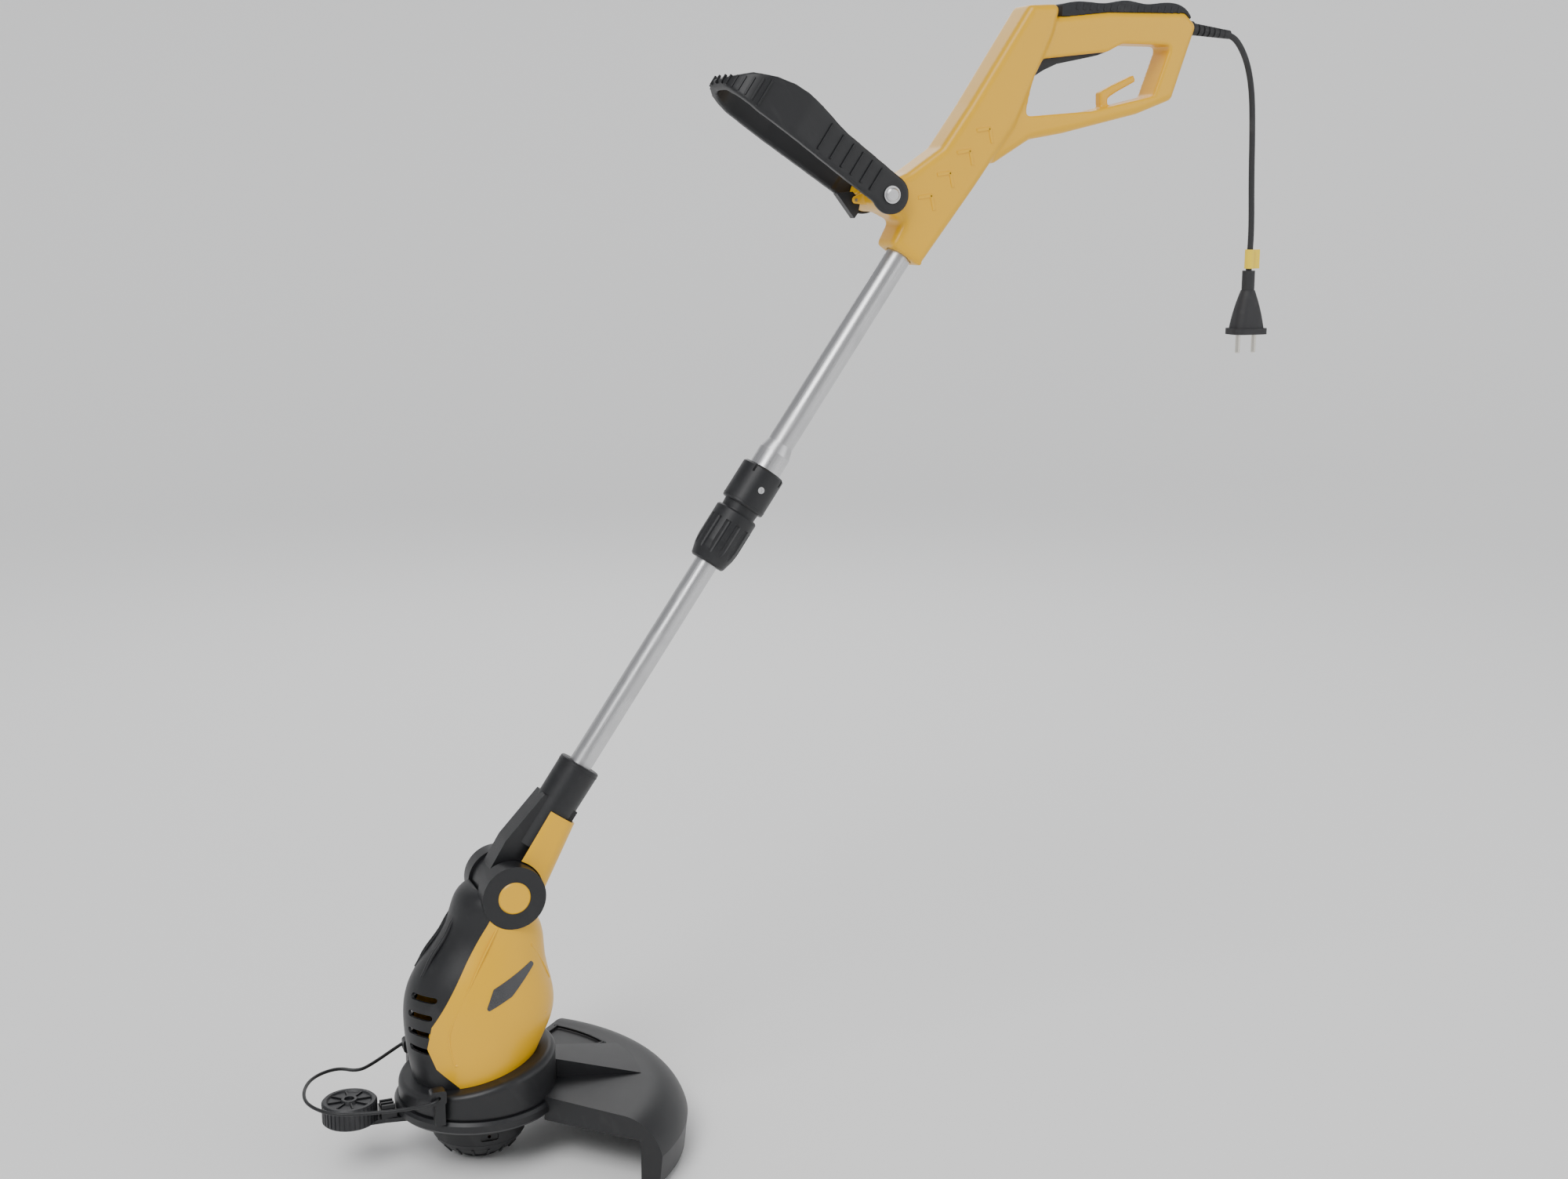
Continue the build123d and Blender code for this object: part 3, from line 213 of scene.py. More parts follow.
@dataclass(frozen=True)
class MouldedPlastic:
    """Injection-moulded plastic: spark grain, faint flow marks, scuffs and dust.

    Attributes:
        colour: The plastic's colour.
        roughness: Its mean roughness.
        grain: Grain features per metre.
        depth: Strength of the grain's bump.
        coat: Clear sheen over it.
        scuff: How far scuffs lighten it.
    """

    colour: Colour
    roughness: float = 0.45
    grain: float = 1400.0
    depth: float = 0.12
    coat: float = 0.0
    scuff: float = 0.12

    def make(self, name: str) -> bpy.types.Material:
        """Build the material.

        Args:
            name: The material's name.

        Returns:
            The material.
        """
        book = ShaderBook(name)
        clouds = book.noise(9.0, 4.0)
        grain = book.noise(self.grain, 2.0)
        marks = book.noise(70.0, 6.0, book.place((1.0, 1.0, 0.25), 0.6))
        scuffs = ((marks - 0.58) * 7.0).clamp() * self.scuff
        shade = (clouds - 0.5) * 0.35 + 0.5
        low = tuple(c * 0.86 for c in self.colour)
        high = tuple(min(1.0, c * 1.1 + 0.002) for c in self.colour)
        pale = tuple(c * 0.6 + 0.28 for c in self.colour)
        colour = book.blend(scuffs, book.blend(shade, low, high), pale)
        bump = book.node("ShaderNodeBump", None, {
            "Strength": self.depth, "Distance": 0.0004, "Height": grain + scuffs * 0.5})
        return book.finish(Base_Color=colour, Normal=bump, Coat_Weight=self.coat,
                           Roughness=(clouds - 0.5) * 0.16 + (grain - 0.5) * 0.12
                           + scuffs * 0.6 + self.roughness)


@dataclass(frozen=True)
class BrushedMetal:
    """Drawn or brushed metal, with its lines along one direction in the XZ plane.

    Attributes:
        colour: The metal's colour.
        roughness: Its mean roughness.
        lean: Direction of the lines, as their lean from Z towards X, in radians.
        lines: Lines per metre across the brushing.
        tarnish: How far dull patches darken it.
    """

    colour: Colour = (0.80, 0.80, 0.81)
    roughness: float = 0.3
    lean: float = 0.0
    lines: float = 2600.0
    tarnish: float = 0.25

    def make(self, name: str) -> bpy.types.Material:
        """Build the material.

        Args:
            name: The material's name.

        Returns:
            The material.
        """
        book = ShaderBook(name)
        along = book.place((1.0, 1.0, 0.012), -self.lean)
        streaks = book.noise(self.lines, 3.0, along)
        broad = book.noise(300.0, 2.0, along)
        dull = ((book.noise(28.0, 5.0) - 0.52) * 5.0).clamp() * self.tarnish
        low = tuple(c * 0.8 for c in self.colour)
        colour = book.blend((streaks * 0.6 + broad * 0.4 - 0.5) * 1.2 + 0.6, low, self.colour)
        colour = book.blend(dull, colour, tuple(c * 0.55 for c in self.colour))
        bump = book.node("ShaderNodeBump", None, {
            "Strength": 0.1, "Distance": 0.0002, "Height": streaks})
        return book.finish(Base_Color=colour, Metallic=1.0, Normal=bump,
                           Roughness=(streaks - 0.5) * 0.3 + dull * 0.5 + self.roughness)


@dataclass(frozen=True)
class SoftRubber:
    """Soft-touch rubber or flexible PVC with a fine matt skin.

    Attributes:
        colour: The rubber's colour.
        roughness: Its mean roughness.
    """

    colour: Colour = (0.02, 0.02, 0.022)
    roughness: float = 0.62

    def make(self, name: str) -> bpy.types.Material:
        """Build the material.

        Args:
            name: The material's name.

        Returns:
            The material.
        """
        book = ShaderBook(name)
        skin = book.noise(2200.0, 2.0)
        dust = ((book.noise(45.0, 5.0) - 0.55) * 5.0).clamp() * 0.25
        colour = book.blend(dust, self.colour, tuple(c * 0.5 + 0.09 for c in self.colour))
        bump = book.node("ShaderNodeBump", None, {
            "Strength": 0.15, "Distance": 0.0002, "Height": skin})
        return book.finish(Base_Color=colour, Normal=bump,
                           Roughness=dust * 0.4 + (skin - 0.5) * 0.1 + self.roughness)


@dataclass(frozen=True)
class StudioPaper:
    """Pale seamless paper of the floor.

    Attributes:
        colour: The paper's colour.
    """

    colour: Colour = (0.93, 0.93, 0.925)

    def make(self, name: str) -> bpy.types.Material:
        """Build the material.

        Args:
            name: The material's name.

        Returns:
            The material.
        """
        book = ShaderBook(name)
        fibre = book.noise(300.0, 3.0)
        colour = book.blend(fibre, tuple(c * 0.98 for c in self.colour), self.colour)
        return book.finish(Base_Color=colour, Roughness=0.85)


SHAFT_LEAN = radians(34.7)


class Skin(Enum):
    """The finishes that pieces wear."""

    YELLOW = MouldedPlastic((0.84, 0.45, 0.0), 0.36, 1100.0, 0.06, 0.1, 0.0)
    BLACK = MouldedPlastic((0.008, 0.0084, 0.0100), 0.44, 1500.0, 0.2, 0.0, 0.03)
    DARK_RIB = MouldedPlastic((0.007, 0.0075, 0.009), 0.48, 1700.0, 0.3, 0.0, 0.02)
    WHEEL = MouldedPlastic((0.012, 0.0125, 0.015), 0.46, 1300.0, 0.25, 0.0, 0.05)
    WORN = MouldedPlastic((0.016, 0.016, 0.018), 0.52, 900.0, 0.3, 0.0, 0.12)
    NATURAL = MouldedPlastic((0.62, 0.61, 0.56), 0.5, 1200.0, 0.1, 0.0, 0.04)
    LABEL = MouldedPlastic((0.045, 0.046, 0.05), 0.3, 2500.0, 0.03, 0.3, 0.03)
    LINE = MouldedPlastic((0.62, 0.10, 0.03), 0.35, 2500.0, 0.05, 0.1, 0.02)
    TAG = MouldedPlastic((0.95, 0.66, 0.03), 0.42, 1500.0, 0.05, 0.0, 0.05)
    TUBE = BrushedMetal((0.66, 0.66, 0.67), 0.3, SHAFT_LEAN)
    STEEL = BrushedMetal((0.62, 0.62, 0.64), 0.3)
    ZINC = BrushedMetal((0.70, 0.70, 0.71), 0.34, 0.8, 1800.0)
    CASTING = BrushedMetal((0.55, 0.55, 0.56), 0.5, 0.3, 700.0, 0.4)
    COPPER = BrushedMetal((0.80, 0.42, 0.24), 0.3, 0.0, 2200.0)
    PINS = BrushedMetal((0.78, 0.75, 0.68), 0.22, 0.0, 2400.0, 0.1)
    RUBBER = SoftRubber()
    GRIP = SoftRubber((0.018, 0.019, 0.022), 0.7)

    @property
    def material(self) -> bpy.types.Material:
        """The finish's material, made once."""
        name = f"skin_{self.name.lower()}"
        return bpy.data.materials.get(name) or self.value.make(name)


# ---------------------------------------------------------------------- mesh workshop


class Solid:
    """A bmesh under construction and the way it becomes a finished piece."""

    def __init__(self) -> None:
        """Start empty."""
        self.bm = bmesh.new()

    def bar(self, size: tuple[float, float, float], place: Matrix) -> "Solid":
        """Add a rectangular bar.

        Args:
            size: Its full sizes along its own axes.
            place: Its matrix in the shared frame.

        Returns:
            This solid.
        """
        made = bmesh.ops.create_cube(self.bm, size=1.0)
        stretch = Matrix.Diagonal((*size, 1.0))
        bmesh.ops.transform(self.bm, matrix=place @ stretch, verts=made["verts"])
        return self

    def ring(self, profile: list[tuple[float, float]], centre: Vector, steps: int = 64) -> "Solid":
        """Spin a closed outline of (radius, height) about an upright axis.

        Args:
            profile: The outline.
            centre: A point on the axis; heights count from it.
            steps: Steps of the full turn.

        Returns:
            This solid.
        """
        stations = [Matrix.Rotation(2 * pi * step / steps, 3, "Z") for step in range(steps)]
        loops = [[self.bm.verts.new(centre + turn @ Vector((r, 0, h))) for r, h in profile]
                 for turn in stations]
        for this, following in zip(loops, loops[1:] + loops[:1]):
            for a, b, c, d in zip(this, this[1:] + this[:1], following[1:] + following[:1],
                                  following):
                self.bm.faces.new((a, b, c, d))
        return self

    def piece(self, name: str, body: str, skin: Skin, bevel: float = 0.0004) -> bpy.types.Object:
        """Close the bmesh into a finished object.

        Args:
            name: The piece's name.
            body: The body it rides on.
            skin: Its finish.
            bevel: Width of its rounded edges.

        Returns:
            The object.
        """
        bmesh.ops.recalc_face_normals(self.bm, faces=self.bm.faces)
        mesh = bpy.data.meshes.new(name)
        self.bm.to_mesh(mesh)
        self.bm.free()
        obj = bpy.data.objects.new(name, mesh)
        bpy.context.scene.collection.objects.link(obj)
        mesh.materials.append(skin.material)
        if bevel:
            soften = obj.modifiers.new("soften", "BEVEL")
            soften.width = bevel
            soften.segments = 2
            soften.limit_method = "ANGLE"
        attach(obj, body)
        log.info("%s on %s: %d faces", name, body, len(mesh.polygons))
        return obj


def bead(name: str, line: list[Vector], radius: float, body: str, skin: Skin) -> bpy.types.Object:
    """A round bead along a smooth line, half sunk where the line lies on a surface.

    Args:
        name: The piece's name.
        line: Points of the line.
        radius: The bead's radius.
        body: The body it rides on.
        skin: Its finish.

    Returns:
        The object.
    """
    curve = bpy.data.curves.new(name, "CURVE")
    curve.dimensions = "3D"
    curve.bevel_depth = radius
    curve.bevel_resolution = 4
    curve.resolution_u = 8
    curve.use_fill_caps = True
    spline = curve.splines.new("NURBS")
    spline.points.add(len(line) - 1)
    for point, place in zip(spline.points, line):
        point.co = (*place, 1.0)
    spline.order_u = 3
    spline.use_endpoint_u = True
    obj = bpy.data.objects.new(name, curve)
    bpy.context.scene.collection.objects.link(obj)
    curve.materials.append(skin.material)
    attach(obj, body)
    log.info("%s on %s: bead of %d points", name, body, len(line))
    return obj


def rounded_copy(nodes: tuple[str, ...], name: str, body: str, skin: Skin, voxel: float,
                 passes: int) -> bpy.types.Object:
    """One softly rounded moulding in place of one or more CAD nodes.

    Args:
        nodes: The CAD nodes.
        name: The piece's name.
        body: The body it rides on.
        skin: Its finish.
        voxel: Size of the remesh's voxels.
        passes: Smoothing passes.

    Returns:
        The object.
    """
    made = bmesh.new()
    for node in nodes:
        made.from_mesh(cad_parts[node].data)
    bmesh.ops.remove_doubles(made, verts=made.verts, dist=1e-6)
    mesh = bpy.data.meshes.new(name)
    made.to_mesh(mesh)
    made.free()
    obj = bpy.data.objects.new(name, mesh)
    bpy.context.scene.collection.objects.link(obj)
    remesh = obj.modifiers.new("rebuild", "REMESH")
    remesh.mode = "VOXEL"
    remesh.voxel_size = voxel
    remesh.use_smooth_shade = True
    smooth = obj.modifiers.new("soften", "SMOOTH")
    smooth.factor = 0.5
    smooth.iterations = passes
    mesh.materials.clear()
    mesh.materials.append(skin.material)
    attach(obj, body)
    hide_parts(*nodes)
    log.info("%s on %s stands for %s", name, body, ", ".join(nodes))
    return obj


def dress(skins: dict[str, Skin]) -> None:
    """Give CAD nodes their finishes.

    Args:
        skins: Finish of each node, by node name.
    """
    for name, skin in skins.items():
        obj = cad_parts[name]
        for slot in obj.material_slots:
            slot.material = skin.material
        log.info("%s wears %s", name, skin.name.lower())


# ---------------------------------------------------------------------- sub-assemblies


def across(x: float, y: float, z: float, turn: float = 0.0) -> Matrix:
    """A place in the shared frame, turned about Y.

    Args:
        x: X in metres.
        y: Y in metres.
        z: Z in metres.
        turn: Turn about Y in radians.

    Returns:
        The matrix.
    """
    return Matrix.Translation((x, y, z)) @ Matrix.Rotation(turn, 4, "Y")


@dataclass
class Shaft:
    """Telescoping tube, its twist clamp and the neck of the head."""

    foot: Vector = field(default_factory=lambda: Vector((0.0305, 0.0, 0.254)))
    skins: dict[str, Skin] = field(default_factory=lambda: {
        "upper_tube": Skin.TUBE, "lower_tube": Skin.TUBE, "guide_bush": Skin.NATURAL,
        "upper_collar": Skin.BLACK, "collar_screw": Skin.ZINC, "clamp_collet": Skin.NATURAL,
        "twist_sleeve": Skin.BLACK, "neck_socket": Skin.BLACK, "neck_cover": Skin.YELLOW,
    })

    def at(self, station: float, forward: float = 0.0, side: float = 0.0) -> Matrix:
        """A place on the shaft whose Z runs up it and whose X points to the rear.

        Args:
            station: Distance up the shaft from the tilt axis.
            forward: Distance in front of the shaft's axis.
            side: Y.

        Returns:
            The matrix.
        """
        up = Vector((sin(SHAFT_LEAN), 0, cos(SHAFT_LEAN)))
        back = Vector((cos(SHAFT_LEAN), 0, -sin(SHAFT_LEAN)))
        spot = self.foot + up * station - back * forward + Vector((0, side, 0))
        return Matrix.Translation(spot) @ Matrix.Rotation(SHAFT_LEAN, 4, "Y")

    def build(self) -> None:
        """Dress the shaft and add the raised rings of its clamp."""
        dress(self.skins)
        self.seams()

    def seams(self) -> None:
        """Thin raised rings round the collar and the neck."""
        for name, body, station, radius, skin in (
            ("collar_ring", "rear_handle", 0.4155, 0.0214, Skin.DARK_RIB),
            ("neck_ring", "lower_shaft", 0.1265, 0.0200, Skin.DARK_RIB),
        ):
            solid = Solid().ring([(radius - 0.0012, -0.001), (radius, -0.0006), (radius, 0.0006),
                                  (radius - 0.0012, 0.001)], Vector((0, 0, 0)))
            bmesh.ops.transform(solid.bm, matrix=self.at(station), verts=solid.bm.verts)
            solid.piece(name, body, skin, 0.0)


@dataclass
class MotorHead:
    """Two-tone motor housing with its tilt joint, vents and plain label."""

    sections: tuple[tuple[float, float, float, float], ...] = (
        (0.066, -0.005, 0.052, 0.054), (0.092, -0.004, 0.0575, 0.057),
        (0.118, 0.0, 0.065, 0.057), (0.144, 0.0035, 0.0695, 0.055),
        (0.168, 0.004, 0.0655, 0.051), (0.192, 0.009, 0.0565, 0.045),
        (0.222, 0.017, 0.043, 0.039), (0.258, 0.026, 0.027, 0.033),
    )
    skins: dict[str, Skin] = field(default_factory=lambda: {
        "head_front_shell": Skin.BLACK, "head_rear_shell": Skin.YELLOW,
        "label_plate": Skin.LABEL, "tilt_button": Skin.YELLOW, "tilt_pin": Skin.STEEL,
        "tilt_spring": Skin.STEEL, "motor_base": Skin.BLACK, "field_stator": Skin.CASTING,
        "armature": Skin.CASTING, "commutator": Skin.COPPER, "carbon_brushes": Skin.DARK_RIB,
        "motor_shaft": Skin.STEEL, "lower_bearing": Skin.STEEL, "upper_bearing": Skin.STEEL,
        "bearing_plate": Skin.CASTING, "upper_bearing_cup": Skin.CASTING,
        "cooling_fan": Skin.DARK_RIB,
    })

    def build(self) -> None:
        """Dress the head and add what its shells carry."""
        dress(self.skins)
        self.front_rails()
        self.shell_creases()

    def form(self, height: float) -> tuple[float, float, float]:
        """Section of the head at a height.

        Args:
            height: Z in metres.

        Returns:
            Its centre in X, half depth in X and half width in Y.
        """
        for low, high in zip(self.sections, self.sections[1:]):
            if height <= high[0]:
                part = (height - low[0]) / (high[0] - low[0])
                part = part * part * (3 - 2 * part) * 0.35 + part * 0.65
                return tuple(a + (b - a) * part for a, b in zip(low[1:], high[1:]))
        return self.sections[-1][1:]

    def front_point(self, height: float, side: float) -> Vector:
        """A point on the front of the head at this height and Y."""
        centre, depth, width = self.form(height)
        return Vector((centre - depth * (1 - (side / width) ** 2) ** 0.5, side, height))

    def flank_point(self, x: float, height: float, hand: int) -> Vector:
        """A point on one flank of the head at this X and height."""
        centre, depth, width = self.form(height)
        return Vector((x, hand * width * (1 - ((x - centre) / depth) ** 2) ** 0.5, height))

    def front_rails(self) -> None:
        """Two moulded rails down the front of the black shell, beside a shallow channel."""
        for hand, name in ((-1, "left"), (1, "right")):
            line = [self.front_point(0.236 - 0.006 * step, hand * (0.0085 + 0.0006 * step))
                    for step in range(10)]
            bead(f"front_rail_{name}", line, 0.0022, "head", Skin.BLACK)

    def shell_creases(self) -> None:
        """Moulded crease lines on both flanks of the yellow shell."""
        lines = {
            "upper": ((0.014, 0.228), (0.000, 0.205), (-0.016, 0.176), (-0.031, 0.150),
                      (-0.037, 0.128), (-0.031, 0.108)),
            "lower": ((-0.031, 0.108), (0.000, 0.112), (0.030, 0.124), (0.058, 0.140)),
            "rear": ((0.046, 0.206), (0.058, 0.188), (0.066, 0.166)),
        }
        for hand, side in ((-1, "left"), (1, "right")):
            for name, line in lines.items():
                points = [self.flank_point(x, z, hand) for x, z in line]
                bead(f"shell_crease_{name}_{side}", points, 0.0011, "head", Skin.YELLOW)


@dataclass
class SpoolHead:
    """Spool housing with its cover and the bump button."""

    skins: dict[str, Skin] = field(default_factory=lambda: {
        "spool_housing": Skin.BLACK, "eyelets": Skin.DARK_RIB, "spool_cover": Skin.BLACK,
        "bump_button": Skin.WORN, "spool": Skin.DARK_RIB, "wound_line": Skin.LINE,
        "bump_spring": Skin.STEEL,
    })
    grips: int = 16

    def build(self) -> None:
        """Dress the spool head and add the grip ribs of its cover."""
        dress(self.skins)
        solid = Solid()
        for index in range(self.grips):
            turn = Matrix.Rotation(2 * pi * index / self.grips, 4, "Z")
            lean = Matrix.Translation((0.0352, 0, 0.0124)) @ Matrix.Rotation(-0.86, 4, "Y")
            solid.bar((0.011, 0.0022, 0.0016), turn @ lean)
        solid.piece("cover_grips", "rotor", Skin.DARK_RIB, 0.0004)


@dataclass
class GuardAndWheel:
    """Debris guard, edging wheel and the wire that keeps plants clear."""

    wheel: Vector = field(default_factory=lambda: Vector((-0.1185, 0.0, 0.0)))
    skins: dict[str, Skin] = field(default_factory=lambda: {
        "guard": Skin.BLACK, "guard_screws": Skin.ZINC, "line_cutter": Skin.STEEL,
        "wheel_bracket": Skin.BLACK, "wheel_axle": Skin.STEEL, "edging_wheel": Skin.WHEEL,
        "plant_guard_wire": Skin.DARK_RIB, "wire_clips": Skin.BLACK,
    })

    def build(self) -> None:
        """Dress the guard and wheel and add their ribs."""
        dress(self.skins)
        self.plate_frame()
        self.wheel_ribs()
        self.wire()

    def wire(self) -> None:
        """The plant guard's wire as one smooth bend between its clips."""
        half = [(-0.050, -0.056, 0.087), (-0.050, -0.0705, 0.087), (-0.0615, -0.0675, 0.083),
                (-0.084, -0.054, 0.0765), (-0.112, -0.044, 0.074), (-0.140, -0.038, 0.075),
                (-0.1582, -0.012, 0.076), (-0.1573, 0.018, 0.076), (-0.144, 0.048, 0.075),
                (-0.119, 0.060, 0.075), (-0.102, 0.049, 0.073), (-0.086, 0.057, 0.075),
                (-0.0615, 0.0675, 0.083), (-0.050, 0.0705, 0.087), (-0.050, 0.056, 0.087)]
        wire = bead("plant_wire", [Vector(p) for p in half], 0.0016, "plant_guard", Skin.DARK_RIB)
        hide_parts("plant_guard_wire")

    def plate_frame(self) -> None:
        """Raised border round the panel on the right half of the guard's plate."""
        solid = Solid()
        for angle in (17.0, 43.0):
            turn = Matrix.Rotation(radians(angle), 4, "Z")
            solid.bar((0.060, 0.0022, 0.0024), turn @ Matrix.Translation((0.112, 0, 0.0662)))
        for radius in (0.0835, 0.1405):
            for step in range(13):
                turn = Matrix.Rotation(radians(17.0 + step * 26.0 / 12), 4, "Z")
                span = 2 * radius * sin(radians(26.0 / 24)) * 1.04
                solid.bar((0.0022, span, 0.0024), turn @ Matrix.Translation((radius, 0, 0.0662)))
        solid.piece("guard_panel_border", "head", Skin.DARK_RIB, 0.0003)

    def wheel_ribs(self) -> None:
        """Spokes in the hollow of the wheel's upper face."""
        solid = Solid()
        for index in range(8):
            turn = Matrix.Rotation(pi / 4 * index, 4, "Z")
            solid.bar((0.0115, 0.0016, 0.0016),
                      Matrix.Translation(self.wheel) @ turn @ Matrix.Translation((0.0135, 0, 0.0687)))
        # The spokes wear the darker rib plastic rather than the wheel's own: painted shade that keeps
        # them as dark as the shaded hollow round them.
        solid.piece("wheel_spokes", "edging_wheel", Skin.DARK_RIB, 0.0003)


@dataclass
class RearHandle:
    """Yellow housing with the D-shaped grip, trigger and switch."""

    shaft: Shaft
    half_width: float = 0.020
    bar_places: tuple[tuple[float, float], ...] = (
        (0.743, 0.012), (0.771, 0.008), (0.799, 0.003), (0.827, -0.002),
    )
    skins: dict[str, Skin] = field(default_factory=lambda: {
        "rear_housing_left": Skin.YELLOW, "rear_housing_right": Skin.YELLOW,
        "housing_screws": Skin.ZINC, "soft_grip": Skin.GRIP, "trigger": Skin.BLACK,
        "trigger_pin": Skin.STEEL, "trigger_spring": Skin.STEEL, "switch_body": Skin.BLACK,
        "switch_plunger": Skin.NATURAL,
    })

    def build(self) -> None:
        """Dress the handle and add its mouldings."""
        dress(self.skins)
        rounded_copy(("rear_housing_left", "rear_housing_right"), "handle_moulding",
                     "rear_handle", Skin.YELLOW, 0.0015, 6)
        rounded_copy(("soft_grip",), "soft_grip_pad", "rear_handle", Skin.GRIP, 0.0009, 6)
        self.chevrons()
        self.grip_ridges()

    def chevrons(self) -> None:
        """Plain raised bars on both flanks of the body."""
        for side, name in ((-1, "left"), (1, "right")):
            solid = Solid()
            for station, forward in self.bar_places:
                place = self.shaft.at(station, forward, side * self.half_width)
                for slope in (-1, 1):
                    arm = Matrix.Translation((slope * 0.0048, 0, 0.0)) @ Matrix.Rotation(
                        slope * 0.75, 4, "Y")
                    solid.bar((0.0145, 0.0014, 0.0034), place @ arm)
            solid.piece(f"flank_chevrons_{name}", "rear_handle", Skin.YELLOW, 0.0005)

    def grip_ridges(self) -> None:
        """Fine cross ridges on the soft grip's flanks."""
        solid = Solid()
        for index in range(16):
            for side in (-1, 1):
                solid.bar((0.0026, 0.0010, 0.0062),
                          across(0.5995 + index * 0.0074, side * 0.0130, 1.0497, 0.25))
        solid.piece("grip_ridges", "rear_handle", Skin.GRIP, 0.0003)


@dataclass
class LoopHandle:
    """Front loop handle with its ribs, bolt and latch."""

    pivot: Vector = field(default_factory=lambda: Vector((0.399, 0.0, 0.876)))
    rise: float = radians(33.7)
    skins: dict[str, Skin] = field(default_factory=lambda: {
        "loop_handle": Skin.BLACK, "loop_bolt": Skin.ZINC, "latch_lever": Skin.BLACK,
        "latch_pin": Skin.STEEL,
    })

    def at(self, forward: float, up: float, side: float) -> Matrix:
        """A place whose X runs forward along the arms and whose Z is square to them.

        Args:
            forward: Distance along the arms from the bolt.
            up: Distance above the arms' line.
            side: Y.

        Returns:
            The matrix.
        """
        along = Vector((-cos(self.rise), 0, sin(self.rise)))
        square = Vector((sin(self.rise), 0, cos(self.rise)))
        spot = self.pivot + along * forward + square * up + Vector((0, side, 0))
        return Matrix.Translation(spot) @ Matrix.Rotation(self.rise + pi, 4, "Y")

    def build(self) -> None:
        """Dress the loop and add its ribs."""
        dress(self.skins)
        rounded_copy(("loop_handle",), "loop_moulding", "loop_handle", Skin.BLACK, 0.0013, 12)
        self.side_ribs()
        self.front_ribs()

    def front_ribs(self) -> None:
        """Fine ribs across the front of the loop, outside and inside."""
        solid = Solid()
        for outward, reach in ((-0.0004, 1.0), (-0.0082, 0.72)):
            for index in range(-7, 8):
                turn = index * radians(12.0)
                centre = Vector((0.1495, 0.0058 * (1 if index > 0 else -1 if index < 0 else 0)))
                radius = 0.0358 + outward
                forward = centre.x + radius * cos(turn)
                side = centre.y + radius * sin(turn)
                height = (0.028 - 0.0195 * cos(turn)) * reach
                place = self.at(forward, 0.004 - 0.0065 * cos(turn), side)
                solid.bar((0.0024, 0.0018, height), place @ Matrix.Rotation(turn, 4, "Z"))
        solid.piece("loop_front_ribs", "loop_handle", Skin.DARK_RIB, 0.0004)

    def side_ribs(self) -> None:
        """Six upright ribs on the outer face of each arm."""
        solid = Solid()
        for forward, top in ((0.021, 0.014), (0.033, 0.0145), (0.045, 0.015), (0.057, 0.0155),
                             (0.070, 0.016), (0.085, 0.018)):
            spread = 0.0345 + max(0.0, forward - 0.008) * 0.0769
            for side in (-1, 1):
                solid.bar((0.0022, 0.0026, top + 0.009),
                          self.at(forward, (top - 0.009) / 2, side * (spread + 0.0003)))
        solid.piece("loop_arm_ribs", "loop_handle", Skin.DARK_RIB, 0.0004)


@dataclass
class PowerLead:
    """Short mains lead with its strain relief, tag and two-pin plug."""

    diameter: float = 0.006
    route: tuple[tuple[float, float], ...] = (
        (0.76874, 1.03059), (0.7795, 1.02956), (0.790, 1.0208), (0.800, 1.003),
        (0.8065, 0.977), (0.809, 0.940), (0.8105, 0.890), (0.813, 0.845), (0.8127, 0.822),
        (0.812, 0.801),
    )
    length: float = 0.2473
    skins: dict[str, Skin] = field(default_factory=lambda: {
        "strain_relief": Skin.RUBBER, "cord_tag": Skin.TAG, "plug_body": Skin.RUBBER,
        "plug_pins": Skin.PINS,
    })

    def build(self) -> None:
        """Dress the plug and make the lead itself."""
        dress(self.skins)
        self.lead()

    def lead(self) -> None:
        """The hanging lead, one smooth curve through its route."""
        curve = bpy.data.curves.new("lead", "CURVE")
        curve.dimensions = "3D"
        curve.bevel_depth = self.diameter / 2
        curve.bevel_resolution = 6
        curve.resolution_u = 16
        curve.use_fill_caps = True
        line = curve.splines.new("NURBS")
        line.points.add(len(self.route) - 1)
        for point, (x, z) in zip(line.points, self.route):
            point.co = (x, 0.0, z, 1.0)
        line.order_u = 3
        line.use_endpoint_u = True
        lead = bpy.data.objects.new("lead", curve)
        bpy.context.scene.collection.objects.link(lead)
        curve.materials.append(Skin.RUBBER.material)
        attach(lead, "rear_handle")
        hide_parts("mains_cord")
        log.info("lead: %.0f mm long", self.length * 1000)


# ---------------------------------------------------------------------- studio


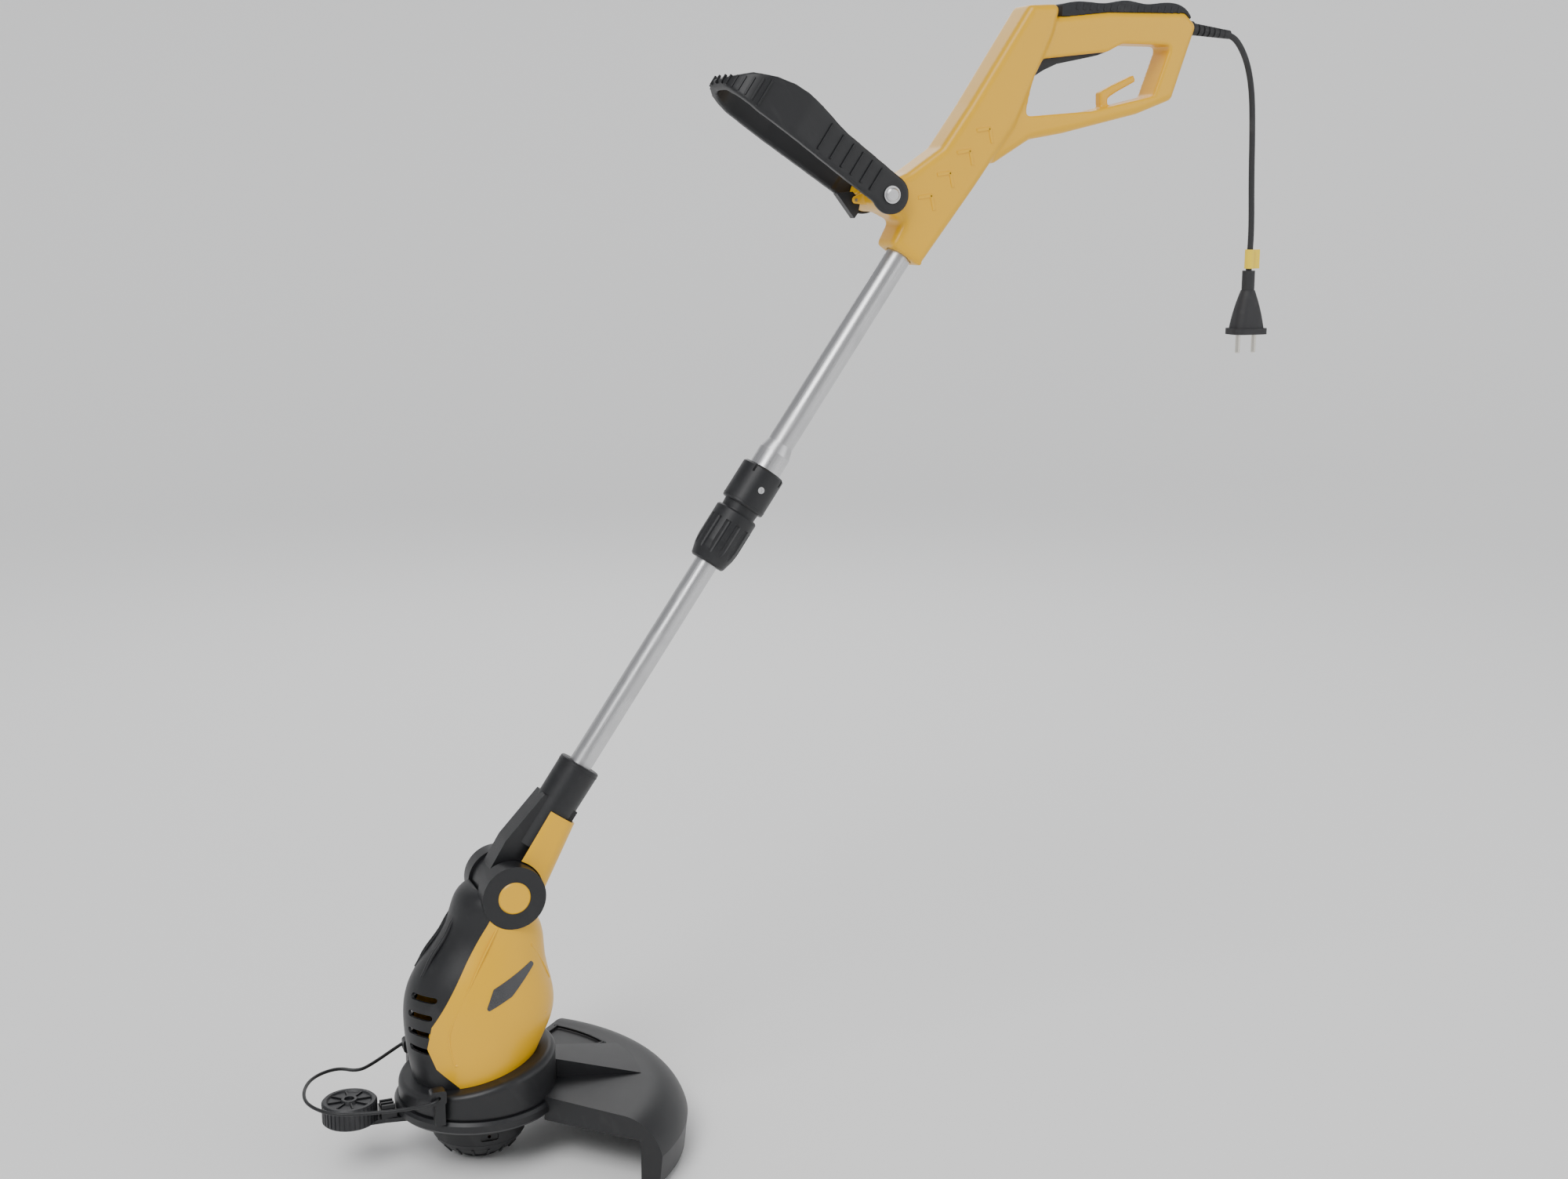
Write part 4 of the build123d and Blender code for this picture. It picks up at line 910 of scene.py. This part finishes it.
@dataclass
class Studio:
    """Pale floor, soft lights and the camera."""

    camera_at: Vector = field(default_factory=lambda: Vector((-0.38332, -1.71760, 0.87497)))
    pitch: float = radians(78.86)
    heading: float = radians(-21.9)
    focal: float = 45.9
    sweep: tuple[tuple[float, float], ...] = (
        (0.0, -0.0005), (4.0, -0.0005), (5.2, 0.12), (6.4, 0.5), (7.4, 1.1), (8.2, 1.9),
        (8.7, 2.9), (8.9, 4.0),
    )
    lights: tuple[tuple[str, Vector, float, float], ...] = (
        ("key", Vector((-1.5, -1.9, 2.3)), 1.1, 24.0),
        ("fill", Vector((2.2, -1.9, 1.5)), 2.0, 16.0),
        ("back", Vector((0.9, 2.2, 2.2)), 1.8, 20.0),
    )

    def build(self) -> None:
        """Set the scene round the trimmer."""
        self.floor()
        self.world()
        self.sun()
        for name, where, size, power in self.lights:
            self.light(name, where, size, power)
        self.camera()

    def floor(self) -> None:
        """A wide pale floor just under the bump button, curving up into a far wall."""
        made = bmesh.new()
        profile = [made.verts.new((radius, 0, height)) for radius, height in self.sweep]
        edges = [made.edges.new(pair) for pair in zip(profile, profile[1:])]
        bmesh.ops.spin(made, geom=profile + edges, cent=(0, 0, 0), axis=(0, 0, 1), angle=2 * pi,
                       steps=96, use_merge=True)
        bmesh.ops.remove_doubles(made, verts=made.verts, dist=1e-6)
        bmesh.ops.recalc_face_normals(made, faces=made.faces)
        for face in made.faces:
            face.smooth = True
        mesh = bpy.data.meshes.new("floor")
        made.to_mesh(mesh)
        made.free()
        floor = bpy.data.objects.new("floor", mesh)
        bpy.context.scene.collection.objects.link(floor)
        mesh.materials.append(StudioPaper().make("studio_paper"))

    def world(self) -> None:
        """Even pale surroundings."""
        world = bpy.data.worlds.new("studio")
        world.use_nodes = True
        backdrop = world.node_tree.nodes["Background"]
        backdrop.inputs["Color"].default_value = (0.96, 0.97, 1.0, 1.0)
        backdrop.inputs["Strength"].default_value = 0.42
        bpy.context.scene.world = world

    def sun(self) -> None:
        """A broad, even light from the upper left that keeps the floor pale to the horizon."""
        lamp = bpy.data.lights.new("sun", "SUN")
        lamp.energy = 1.5
        lamp.angle = radians(35)
        holder = bpy.data.objects.new("sun", lamp)
        holder.rotation_euler = Vector((0.45, 0.5, -1.0)).to_track_quat("-Z", "Y").to_euler()
        bpy.context.scene.collection.objects.link(holder)

    def light(self, name: str, where: Vector, size: float, power: float) -> None:
        """Add one soft area light that faces the middle of the trimmer.

        Args:
            name: The light's name.
            where: Its place.
            size: Its width.
            power: Its power in watts.
        """
        lamp = bpy.data.lights.new(name, "AREA")
        lamp.size = size
        lamp.energy = power
        holder = bpy.data.objects.new(name, lamp)
        holder.location = where
        aim = Vector((0.3, 0.0, 0.5)) - where
        holder.rotation_euler = aim.to_track_quat("-Z", "Y").to_euler()
        bpy.context.scene.collection.objects.link(holder)

    def camera(self) -> None:
        """The camera, level and without depth of field."""
        data = bpy.data.cameras.new("camera")
        data.lens = self.focal
        data.sensor_width = 36.0
        data.clip_start = 0.05
        camera = bpy.data.objects.new("camera", data)
        camera.location = self.camera_at
        camera.rotation_euler = (self.pitch, 0.0, self.heading)
        bpy.context.scene.collection.objects.link(camera)
        bpy.context.scene.camera = camera


def main() -> None:
    """Build every sub-assembly and the studio, logging the name of each."""
    shaft = Shaft()
    for part in (Studio(), PowerLead(), shaft, MotorHead(), SpoolHead(), GuardAndWheel(),
                 RearHandle(shaft), LoopHandle()):
        log.info("building %s", type(part).__name__)
        part.build()


if __name__ == "__main__":
    main()
